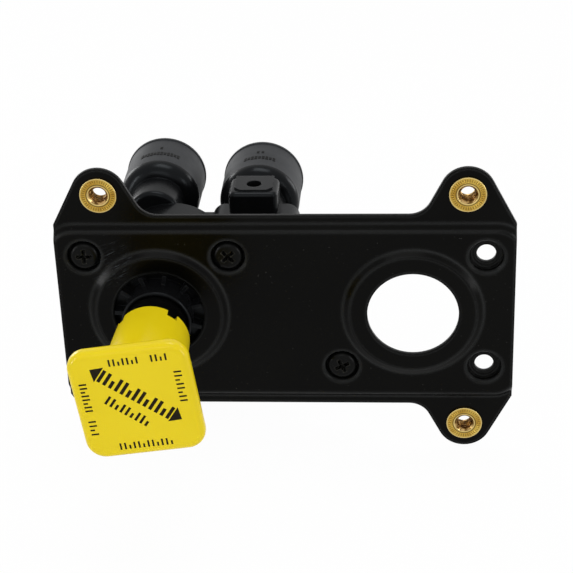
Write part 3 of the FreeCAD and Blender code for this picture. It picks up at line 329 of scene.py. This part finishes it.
def moulded_plastic(name, tone, rough, shine=0.06):
    """Black moulding: a fine grain, flow marks and slightly rounded edges."""
    finish = Finish(name, Specular_IOR_Level=shine)
    flow = finish.noise(FLOW, 4, 0.6)
    finish.colour(finish.blend(finish.spread(flow, 0.0, 1.0), *TONES[tone]))
    finish.roughness(finish.spread(finish.noise(SMEARS, 4, 0.6), *rough))
    moulded_relief(finish, (0.008 * MM, 0.4), (0.03 * MM, 0.2), 0.3 * MM)
    return finish.material


def moulded_composite():
    """Glass filled black moulding: the port barrels have a matt grain and a painted light band on the bevel
    of their rims, all else is smoother.
    """
    finish = Finish("black_composite")
    finish.shader.inputs["Specular Tint"].default_value = (0.86, 0.94, 1.0, 1.0)
    left_side = finish.math("LESS_THAN", finish.axis("X"), PORT_DIVIDE)
    start = finish.math("ADD", finish.math("MULTIPLY", left_side, BARREL_STAGGER), BARREL_START)
    past = finish.math("SUBTRACT", finish.axis("Y"), start)
    matt = finish.spread(past, 0.0, 1.0, -BARREL_BLUR / 2, BARREL_BLUR)
    # Painted light: the rim's bevel, which faces away from the lamps, gets a lighter tone.
    painted_rim_light = finish.math("MULTIPLY", finish.spread(past, 0.0, 1.0, RIM_START, RIM_START + RIM_FADE),
                      finish.spread(past, 1.0, 0.0, RIM_END - RIM_FADE, RIM_END))
    flow = finish.spread(finish.noise(FLOW, 4, 0.6), 0.0, 1.0)
    smooth_tone = finish.blend(flow, *TONES["composite"])
    matt_tone = finish.blend(flow, *TONES["matt_composite"])
    finish.colour(finish.blend(painted_rim_light, finish.blend(matt, smooth_tone, matt_tone), TONES["composite_painted_rim_light"]))
    finish.join(finish.spread(matt, 0.095, 0.18, 0.0, 1.0), finish.shader.inputs["Specular IOR Level"])
    shine = finish.spread(finish.noise(SMEARS, 4, 0.6), 0.20, 0.28)
    finish.roughness(finish.math("ADD", shine, finish.math("MULTIPLY", matt, 0.30)))
    moulded_relief(finish, (0.010 * MM, 0.45), (0.04 * MM, 0.22), 0.5 * MM)
    return finish.material


def yellow_plastic():
    """Glossy yellow moulding with slight flow tone and soft waviness."""
    finish = Finish("yellow_plastic", Specular_IOR_Level=0.20, Subsurface_Weight=0.08)
    finish.shader.inputs["Subsurface Radius"].default_value = (2.2 * MM, 1.6 * MM, 0.4 * MM)
    flow = finish.noise(30, 3)
    finish.colour(finish.blend(finish.spread(flow, 0.0, 1.0), *TONES["yellow"]))
    finish.roughness(finish.spread(finish.noise(240, 4, 0.6), 0.19, 0.27))
    fine = finish.bump(finish.noise(1500, 2), 0.006 * MM, 0.35)
    finish.normal(finish.bump(finish.noise(90, 2), 0.05 * MM, 0.2, fine))
    return finish.material


def print_ink():
    """Dark printed ink, slightly worn."""
    finish = Finish("print_ink", Specular_IOR_Level=0.08)
    wear = finish.noise(900, 5, 0.7)
    finish.colour(finish.blend(finish.spread(wear, 0.0, 1.0, 0.25, 0.5), *TONES["ink"]))
    finish.roughness(finish.spread(wear, 0.35, 0.5))
    finish.normal(finish.bump(finish.noise(2000, 2), 0.004 * MM, 0.4))
    return finish.material


def spring_steel():
    """Drawn steel wire and pressed steel."""
    finish = Finish("spring_steel", Metallic=1.0)
    finish.colour(finish.blend(finish.noise(300, 4), *TONES["steel"]))
    finish.roughness(finish.spread(finish.noise(700, 4), 0.22, 0.42))
    finish.normal(finish.bump(finish.noise(2400, 3), 0.006 * MM, 0.5))
    return finish.material


def seal_rubber():
    """Black moulded rubber."""
    finish = Finish("seal_rubber", Specular_IOR_Level=0.3)
    finish.colour(finish.blend(finish.noise(60, 3), *TONES["rubber"]))
    finish.roughness(finish.spread(finish.noise(400, 3), 0.55, 0.75))
    finish.normal(finish.bump(finish.noise(1800, 3), 0.010 * MM, 0.5))
    return finish.material


def screw_black():
    """Black oxide on a pressed screw, with edges lighter in patches: partly wear, partly a painted highlight.
    """
    finish = Finish("black_oxide", Specular_IOR_Level=0.07)
    tone = finish.blend(finish.noise(500, 4), *TONES["oxide"])
    # Patchy lighter edges: partly worn oxide, partly a painted highlight on the head's rims.
    edge_highlight = finish.math("MULTIPLY", finish.spread(finish.edges(0.4 * MM), 0.0, 1.0, 0.05, 0.3),
                       finish.spread(finish.noise(900, 4, 0.7), 0.1, 1.0, 0.4, 0.62))
    finish.colour(finish.blend(edge_highlight, tone, TONES["oxide_wear_and_highlight"]))
    finish.roughness(finish.spread(finish.noise(800, 4), 0.18, 0.30))
    finish.normal(finish.bump(finish.noise(1700, 3), 0.012 * MM, 0.5, finish.rounded(0.18 * MM)))
    return finish.material


FINISHES = {
    "black_steel": painted_steel(),
    "brass": turned_brass(),
    "black_screw": screw_black(),
    "black_composite": moulded_composite(),
    "plunger_plastic": moulded_plastic("plunger_plastic", "plunger", (0.16, 0.24), 0.08),
    "collet_plastic": moulded_plastic("collet_plastic", "collet", (0.30, 0.42)),
    "yellow_button": yellow_plastic(),
    "spring_steel": spring_steel(),
    "seal_rubber": seal_rubber(),
}
MARK_FINISH = moulded_plastic("mark_black", "mark", (0.45, 0.6))
SHARP_ANGLE = math.radians(32)
SLOT_OF = {part["node"]: part["material_slot"] for part in frame["record"]["subparts"]}


def dress_nodes():
    """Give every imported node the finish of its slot."""
    for name, thing in frame["nodes"].items():
        finish = FINISHES[SLOT_OF[name]]
        if not thing.material_slots:
            thing.data.materials.append(finish)
        for slot in thing.material_slots:
            slot.material = finish


def new_piece(name, mesh, body, slot, smooth=True):
    """Put a mesh in the scene as a piece that rides on a body, in the finish of its slot."""
    piece = bpy.data.objects.new(name, mesh)
    bpy.context.scene.collection.objects.link(piece)
    piece.data.materials.clear()
    piece.data.materials.append(FINISHES[slot])
    for face in mesh.polygons:
        face.use_smooth = smooth
    mesh.set_sharp_from_angle(angle=SHARP_ANGLE)
    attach(piece, body)
    return piece


def build_mesh(name, vertices, faces):
    """Mesh from lists of vertices and faces."""
    mesh = bpy.data.meshes.new(name)
    mesh.from_pydata([tuple(vertex) for vertex in vertices], [], faces)
    mesh.update()
    return mesh


def lathe(rings, centre, steps):
    """Vertices and faces of rings about an axis along Y. A radius is a number or follows the angle."""
    vertices, faces = [], []
    for radius, depth in rings:
        for step in range(steps):
            angle = 2 * math.pi * step / steps
            reach = radius(angle) if callable(radius) else radius
            vertices.append((centre.x + reach * math.cos(angle), depth, centre.z + reach * math.sin(angle)))
    for row in range(len(rings) - 1):
        for step in range(steps):
            after = (step + 1) % steps
            near, far = row * steps, (row + 1) * steps
            faces.append((near + step, far + step, far + after, near + after))
    return vertices, faces


def close_ends(vertices, faces, rings, steps, centre):
    """Add a centre point and a fan at both ends of a lathe mesh."""
    for row, depth, turn in ((0, rings[0][1], 1), (len(rings) - 1, rings[-1][1], -1)):
        tip = len(vertices)
        vertices.append((centre.x, depth, centre.z))
        for step in range(steps):
            after = (step + 1) % steps
            fan = (row * steps + step, row * steps + after, tip)
            faces.append(fan if turn > 0 else fan[::-1])


def thread_radius(base, rise, pitch, place):
    """Return a function that gives the radius of a helical thread at one place along the axis."""
    def radius(angle):
        phase = (place / pitch + angle / (2 * math.pi)) % 1.0
        return base + rise * (1 - abs(2 * phase - 1))
    return radius


INSERT_PITCH = 1.27 * MM
INSERT_CREST = 0.36 * MM
INSERT_SKIN = 0.05 * MM
INSERT_LEAD = 0.75 * MM
INSERT_ROWS = 40
THREAD_STEPS = 48


def insert_thread(node):
    """Inside thread of one insert, as a thin sleeve whose inner wall winds with the pitch."""
    low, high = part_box(node)
    start, end = low[1] + INSERT_LEAD, high[1] - INSERT_SKIN
    inner = []
    for row in range(INSERT_ROWS + 1):
        along = (end - start) * row / INSERT_ROWS
        inner.append((thread_radius(INSERT_BORE, -INSERT_CREST, INSERT_PITCH, along), start + along))
    outer = [(INSERT_BORE + INSERT_SKIN, end), (INSERT_BORE + INSERT_SKIN, start)]
    rings = inner + outer + inner[:1]
    vertices, faces = lathe(rings, middle(node), THREAD_STEPS)
    return new_piece(f"{node}_thread", build_mesh(f"{node}_thread", vertices, faces), "root", "brass")


HEAD_HEIGHT = 2.9 * MM
HEAD_ROUND = 1.7 * MM
SHANK_RADIUS = 2.4 * MM
SCREW_PITCH = 1.5 * MM
SCREW_THREAD = 0.32 * MM
SCREW_STEPS = 72
ROUND_STEPS = 7
THREAD_ROWS = 56


def screw_rings(low, high):
    """Rings of a pan head, a threaded shank and a blunt tip, from the front to the back."""
    head = (high.x - low.x) / 2
    rings = [(head - HEAD_ROUND, low.y)]
    for step in range(1, ROUND_STEPS + 1):
        angle = math.pi / 2 * step / ROUND_STEPS
        rings.append((head - HEAD_ROUND * (1 - math.sin(angle)), low.y + HEAD_ROUND * (1 - math.cos(angle))))
    under = low.y + HEAD_HEIGHT
    rings += [(head, under), (SHANK_RADIUS, under)]
    thread_end = high.y - SHANK_RADIUS
    for row in range(1, THREAD_ROWS + 1):
        along = (thread_end - under) * row / THREAD_ROWS
        crest = thread_radius(SHANK_RADIUS - SCREW_THREAD, SCREW_THREAD, SCREW_PITCH, along)
        rings.append((crest, under + along))
    return rings + [(SHANK_RADIUS / 4, high.y)]


RECESS_OUT = (2.75 * MM, 0.70 * MM)
RECESS_IN = (1.25 * MM, 0.34 * MM)
RECESS_DEPTH = 2.1 * MM
RECESS_SPARE = 0.4 * MM
CROSS_ARMS = 4
CROSS_POINTS = 3 * CROSS_ARMS
SCREW_TURNS = {"panel_screw_1": 0.0, "panel_screw_2": 45.0, "panel_screw_3": 0.0, "panel_screw_4": 25.0}


def cross_points(arm, half_width, depth, centre, turn):
    """Outline points of a cross, three to each arm, turned about the screw's axis."""
    points = []
    for quarter in range(CROSS_ARMS):
        angle = turn + quarter * math.pi / 2
        for along, side in ((half_width, -half_width), (arm, -half_width), (arm, half_width)):
            x = along * math.cos(angle) - side * math.sin(angle)
            z = along * math.sin(angle) + side * math.cos(angle)
            points.append((centre.x + x, depth, centre.z + z))
    return points


def recess_cutter(node, low):
    """Tapered cross that cuts the recess of a screw."""
    centre, turn = middle(node), math.radians(SCREW_TURNS[node])
    slope = [(wide - tight) / RECESS_DEPTH for wide, tight in zip(RECESS_OUT, RECESS_IN)]
    flare = [wide + rate * RECESS_SPARE for wide, rate in zip(RECESS_OUT, slope)]
    vertices = cross_points(*flare, low.y - RECESS_SPARE, centre, turn)
    vertices += cross_points(*RECESS_IN, low.y + RECESS_DEPTH, centre, turn)
    faces = []
    for step in range(CROSS_POINTS):
        after = (step + 1) % CROSS_POINTS
        faces.append((step, step + CROSS_POINTS, after + CROSS_POINTS, after))
    roots = range(0, CROSS_POINTS, 3)
    for base in (0, CROSS_POINTS):
        caps = [tuple(base + root for root in roots)]
        caps += [tuple(base + (root + corner) % CROSS_POINTS for corner in range(4)) for root in roots]
        faces += [cap if base == 0 else cap[::-1] for cap in caps]
    return build_mesh(f"{node}_cutter", vertices, faces)


def mend_normals(mesh):
    """Make the faces of a closed mesh look outwards."""
    work = bmesh.new()
    work.from_mesh(mesh)
    bmesh.ops.recalc_face_normals(work, faces=work.faces)
    work.to_mesh(mesh)
    work.free()


def carved(mesh, cutter):
    """Return the mesh with the cutter's shape taken out of it."""
    for shape in (mesh, cutter):
        mend_normals(shape)
    block = bpy.data.objects.new("carved_block", mesh)
    blade = bpy.data.objects.new("carving_blade", cutter)
    for thing in (block, blade):
        bpy.context.scene.collection.objects.link(thing)
    cut = block.modifiers.new("cut", "BOOLEAN")
    cut.operation = "DIFFERENCE"
    cut.solver = "EXACT"
    cut.object = blade
    graph = bpy.context.evaluated_depsgraph_get()
    result = bpy.data.meshes.new_from_object(block.evaluated_get(graph))
    for thing in (block, blade):
        bpy.data.objects.remove(thing)
    return result


def panel_screw(node):
    """Pan head screw with a tapered cross recess and a rolled thread, in place of the plain one."""
    low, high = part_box(node)
    rings = screw_rings(low, high)
    vertices, faces = lathe(rings, middle(node), SCREW_STEPS)
    close_ends(vertices, faces, rings, SCREW_STEPS, middle(node))
    mesh = carved(build_mesh(f"{node}_fine", vertices, faces), recess_cutter(node, low))
    mesh.name = f"{node}_fine"
    piece = new_piece(f"{node}_fine", mesh, "root", "black_screw")
    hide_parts(node)
    return piece


INK_SUNK = 0.03 * MM
INK_PROUD = 0.035 * MM
# Rows of the print: start and end of the middle line, height, stroke and pitch, in mm from the button's axis.
PRINT_ROWS = (
    ((-8.9, 11.3), (10.3, -5.1), 5.0, 1.15, 2.15),
    ((-8.8, 2.2), (2.3, -7.6), 3.4, 0.85, 1.75),
    ((-5.4, 15.7), (3.6, 15.7), 2.5, 0.6, 1.5),
    ((8.4, 15.7), (13.0, 15.7), 2.5, 0.6, 1.5),
    ((15.7, 9.8), (15.7, -1.0), 2.5, 0.6, 1.5),
    ((-15.7, 8.9), (-15.7, -1.0), 2.5, 0.6, 1.5),
    ((-15.7, -5.2), (-15.7, -10.0), 2.5, 0.6, 1.5),
    ((-8.4, -15.7), (8.6, -15.7), 2.5, 0.6, 1.5),
)
ARROW_REACH = 3.4
ARROW_WIDTH = 6.4
SHORT_BAR = 0.6


def bar(start, end, width):
    """Corners of a bar about a middle line."""
    along = (end - start).normalized()
    side = Vector((-along.y, along.x)) * width / 2
    return [start - side, end - side, end + side, start + side]


def row_of_bars(start, end, height, stroke, pitch):
    """Upright bars along a line, every third one shorter."""
    first, last = Vector(start), Vector(end)
    along = (last - first).normalized()
    side = Vector((-along.y, along.x))
    count = round((last - first).length / pitch) + 1
    shapes = []
    for number in range(count):
        foot = first.lerp(last, number / (count - 1)) - side * height / 2
        reach = height * (SHORT_BAR if number % 3 == 2 else 1.0)
        shapes.append(bar(foot, foot + side * reach, stroke))
    return shapes


def arrow(base, along):
    """Corners of an arrow head that points along a direction."""
    side = Vector((-along.y, along.x)) * ARROW_WIDTH / 2
    return [base - side, base + along * ARROW_REACH, base + side]


def print_shapes():
    """Outlines of all the printed marks: a row of bars between two arrow heads, and smaller rows."""
    first, last = Vector(PRINT_ROWS[0][0]), Vector(PRINT_ROWS[0][1])
    along = (last - first).normalized()
    shapes = [arrow(first - along, -along), arrow(last + along, along)]
    for row in PRINT_ROWS:
        shapes += row_of_bars(*row)
    return shapes


def button_print():
    """Plain printed marks on the face of the button, without letters."""
    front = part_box("push_button")[0].y
    axis = middle("plunger")
    turn = Matrix.Rotation(BUTTON_TURN, 2)
    vertices, faces = [], []
    for shape in print_shapes():
        base, count = len(vertices), len(shape)
        for depth in (front - INK_PROUD, front + INK_SUNK):
            for corner in shape:
                spot = turn @ (corner * MM)
                vertices.append((axis.x + spot.x, depth, axis.z + spot.y))
        faces.append(tuple(base + corner for corner in range(count)))
        faces.append(tuple(base + count + corner for corner in reversed(range(count))))
        for corner in range(count):
            after = (corner + 1) % count
            faces.append((base + corner, base + count + corner, base + count + after, base + after))
    mesh = build_mesh("button_print", vertices, faces)
    mend_normals(mesh)
    piece = new_piece("button_print", mesh, "button", "yellow_button", smooth=False)
    piece.data.materials[0] = print_ink()
    return piece


# Marks on the port barrels: how many stand in the row, how far the row reaches each way, and its place.
PORT_MARKS = {
    "left": {"count": 12, "reach": math.radians(27), "depth": 66.2 * MM, "extra": (0.0,)},
    "right": {"count": 9, "reach": math.radians(21), "depth": 65.2 * MM, "extra": (-0.06, 0.06)},
}
PORT_RADIUS = 15.0 * MM
MARK_HEIGHT = 0.12 * MM
MARK_LENGTH = 2.6 * MM
MARK_TURN = 0.066
SHORT_MARK = 0.72
EXTRA_MARK = 0.7
EXTRA_BACK = 5.0 * MM
SEAM_PORTS = ("left", "right", "lower")
SEAM_TURN = 0.020
SEAM_START = 61.5 * MM
SEAM_END = 78.0 * MM
SEAM_HEIGHT = 0.06 * MM


def curved_mark(vertices, faces, centre, angle, half_angle, depth, length, height=MARK_HEIGHT):
    """Thin raised bar that follows a port's barrel."""
    base = len(vertices)
    for radius in (PORT_RADIUS - height / 2, PORT_RADIUS + height):
        for side in (angle - half_angle, angle + half_angle):
            for y in (depth - length / 2, depth + length / 2):
                vertices.append((centre.x + radius * math.sin(side), y, centre.z + radius * math.cos(side)))
    corners = ((0, 1, 3, 2), (4, 6, 7, 5), (0, 4, 5, 1), (2, 3, 7, 6), (0, 2, 6, 4), (1, 5, 7, 3))
    faces += [tuple(base + corner for corner in face) for face in corners]


def port_marks(name):
    """Row of plain moulded marks across the top of one port."""
    plan = PORT_MARKS[name]
    centre = middle(f"{name}_collet")
    vertices, faces = [], []
    for number in range(plan["count"]):
        share = number / (plan["count"] - 1) * 2 - 1
        length = MARK_LENGTH * (SHORT_MARK if number % 3 == 1 else 1.0)
        curved_mark(vertices, faces, centre, share * plan["reach"], MARK_TURN / 2, plan["depth"], length)
    behind = plan["depth"] + EXTRA_BACK
    for angle in plan["extra"]:
        curved_mark(vertices, faces, centre, angle, MARK_TURN / 2, behind, MARK_LENGTH * EXTRA_MARK)
    mesh = build_mesh(f"{name}_port_marks", vertices, faces)
    mend_normals(mesh)
    piece = new_piece(f"{name}_port_marks", mesh, "root", "black_composite", smooth=False)
    piece.data.materials[0] = MARK_FINISH
    return piece


def port_seams():
    """Parting lines of the mould, one along each side of every port barrel."""
    vertices, faces = [], []
    for name in SEAM_PORTS:
        centre = middle(f"{name}_collet")
        for angle in (-math.pi / 2, math.pi / 2):
            curved_mark(vertices, faces, centre, angle, SEAM_TURN / 2, (SEAM_START + SEAM_END) / 2,
                        SEAM_END - SEAM_START, SEAM_HEIGHT)
    mesh = build_mesh("port_seams", vertices, faces)
    mend_normals(mesh)
    return new_piece("port_seams", mesh, "root", "black_composite", smooth=False)


EJECTOR_PLACES = ((-25.0, -1.0), (-1.2, -1.0), (-50.0, -9.0), (-38.5, -10.0))
EJECTOR_RADIUS = 2.4 * MM
EJECTOR_WALL = 0.22 * MM
EJECTOR_HEIGHT = 0.10 * MM
MOULD_FACE = 42.5 * MM
EJECTOR_STEPS = 48


def ejector_marks():
    """Fine raised rings that the ejector pins leave on the back of the moulding."""
    vertices, faces = [], []
    sunk, proud = MOULD_FACE - EJECTOR_HEIGHT / 2, MOULD_FACE + EJECTOR_HEIGHT
    inner, outer = EJECTOR_RADIUS - EJECTOR_WALL, EJECTOR_RADIUS
    rings = [(inner, sunk), (inner, proud), (outer, proud), (outer, sunk), (inner, sunk)]
    for x, z in EJECTOR_PLACES:
        ring_vertices, ring_faces = lathe(rings, Vector((x * MM, 0, z * MM)), EJECTOR_STEPS)
        base = len(vertices)
        vertices += ring_vertices
        faces += [tuple(base + corner for corner in face) for face in ring_faces]
    mesh = build_mesh("ejector_marks", vertices, faces)
    mend_normals(mesh)
    return new_piece("ejector_marks", mesh, "root", "black_composite", smooth=False)


# Lamps: width and height, power in watts, place and the point that each looks at.
BOX = (0.40, 0.30)
WIDE_BOX = (0.6, 0.4)
SIDE_BOX = (0.30, 0.40)
STRIP = (0.10, 0.70)
LAMPS = {
    "top_box": (BOX, 2.2, (0.02, 0.10, 0.72), (0, 0.03, 0)),
    "front_box": (WIDE_BOX, 1.2, (-0.10, -0.85, 0.62), (0, 0, 0)),
    "back_left": (SIDE_BOX, 1.8, (-0.62, 0.60, 0.16), (-0.02, 0.05, 0)),
    "back_right": (SIDE_BOX, 1.8, (0.72, 0.52, 0.16), (-0.02, 0.05, 0)),
    "left_strip": (STRIP, 3.0, (-0.66, -0.42, 0.02), (-0.04, 0, 0)),
    "right_strip": (STRIP, 3.0, (0.62, -0.42, 0.02), (0.02, 0, 0)),
}


def make_light(name, size, power, place, target):
    """White rectangular lamp that looks at a point."""
    light = bpy.data.lights.new(name, "AREA")
    light.shape = "RECTANGLE"
    light.size, light.size_y = size
    light.energy = power
    lamp = bpy.data.objects.new(name, light)
    bpy.context.scene.collection.objects.link(lamp)
    lamp.location = place
    lamp.rotation_euler = (Vector(target) - Vector(place)).to_track_quat("-Z", "Y").to_euler()


def set_light():
    """Soft studio light: a box above, a weak one in front, two behind and a tall strip at each side."""
    for name, plan in LAMPS.items():
        make_light(name, *plan)


FLOOR_GLOW = 0.97
FLOOR_GREY = (0.85, 0.85, 0.85, 1)
FLOOR_REACH = 3.0
FLOOR_GAP = 2 * MM
SKY_SHARE = 0.42
WHITE = (1, 1, 1, 1)


def seen_rays(tree):
    """Return a mask for the rays that show the backdrop: camera, glossy and transmission rays."""
    path = tree.nodes.new("ShaderNodeLightPath")
    total = path.outputs["Is Camera Ray"]
    for label in ("Is Glossy Ray", "Is Transmission Ray"):
        wider = tree.nodes.new("ShaderNodeMath")
        wider.operation = "MAXIMUM"
        tree.links.new(total, wider.inputs[0])
        tree.links.new(path.outputs[label], wider.inputs[1])
        total = wider.outputs[0]
    return total


def white_floor():
    """Floor that shows white, with a share of plain shading so that the shadow stays."""
    finish = bpy.data.materials.new("floor_white")
    finish.use_nodes = True
    tree = finish.node_tree
    shader = tree.nodes["Principled BSDF"]
    shader.inputs["Base Color"].default_value = FLOOR_GREY
    shader.inputs["Roughness"].default_value = 0.9
    glow = tree.nodes.new("ShaderNodeEmission")
    glow.inputs["Color"].default_value = WHITE
    share = tree.nodes.new("ShaderNodeMath")
    share.operation = "MULTIPLY"
    share.inputs[1].default_value = FLOOR_GLOW
    tree.links.new(seen_rays(tree), share.inputs[0])
    mix = tree.nodes.new("ShaderNodeMixShader")
    tree.links.new(share.outputs[0], mix.inputs["Fac"])
    tree.links.new(shader.outputs["BSDF"], mix.inputs[1])
    tree.links.new(glow.outputs["Emission"], mix.inputs[2])
    tree.links.new(mix.outputs["Shader"], tree.nodes["Material Output"].inputs["Surface"])
    return finish


def set_backdrop():
    """Pale floor under the ears and an even sky that shows white."""
    corners = [(x * FLOOR_REACH, y * FLOOR_REACH, 0) for x, y in ((-1, -1), (1, -1), (1, 1), (-1, 1))]
    floor = bpy.data.objects.new("floor", build_mesh("floor", corners, [(0, 1, 2, 3)]))
    bpy.context.scene.collection.objects.link(floor)
    floor.location.z = cad_bounds[0][2] - FLOOR_GAP
    floor.data.materials.append(white_floor())
    world = bpy.data.worlds.new("studio")
    bpy.context.scene.world = world
    world.use_nodes = True
    tree = world.node_tree
    background = tree.nodes["Background"]
    background.inputs["Color"].default_value = WHITE
    strength = tree.nodes.new("ShaderNodeMapRange")
    strength.inputs["To Min"].default_value = SKY_SHARE
    strength.inputs["To Max"].default_value = 1.0
    tree.links.new(seen_rays(tree), strength.inputs["Value"])
    tree.links.new(strength.outputs["Result"], background.inputs["Strength"])


CAMERA_PLACE = (0.044243, -0.535027, 0.296559)
CAMERA_RIGHT = (0.99740821, 0.06377500, -0.03331093)
CAMERA_UP = (-0.00074468, 0.47209558, 0.88154705)
CAMERA_SENSOR = 36
CAMERA_LENS = 109.676


def set_camera():
    """Camera at the photograph's place: distance, height and turn fitted to the plate's outline."""
    camera = bpy.data.cameras.new("camera")
    camera.sensor_width = CAMERA_SENSOR
    camera.lens = CAMERA_LENS
    viewer = bpy.data.objects.new("camera", camera)
    bpy.context.scene.collection.objects.link(viewer)
    right = Vector(CAMERA_RIGHT)
    up = Vector(CAMERA_UP)
    back = right.cross(up)
    turn = Matrix((right, up, back)).transposed().to_4x4()
    viewer.matrix_world = Matrix.Translation(CAMERA_PLACE) @ turn
    bpy.context.scene.camera = viewer


dress_nodes()
for insert in INSERTS:
    insert_thread(insert)
for screw in SCREWS:
    panel_screw(screw)
button_print()
for port in PORT_MARKS:
    port_marks(port)
port_seams()
ejector_marks()
set_light()
set_backdrop()
set_camera()
bpy.context.scene.view_settings.view_transform = "Standard"
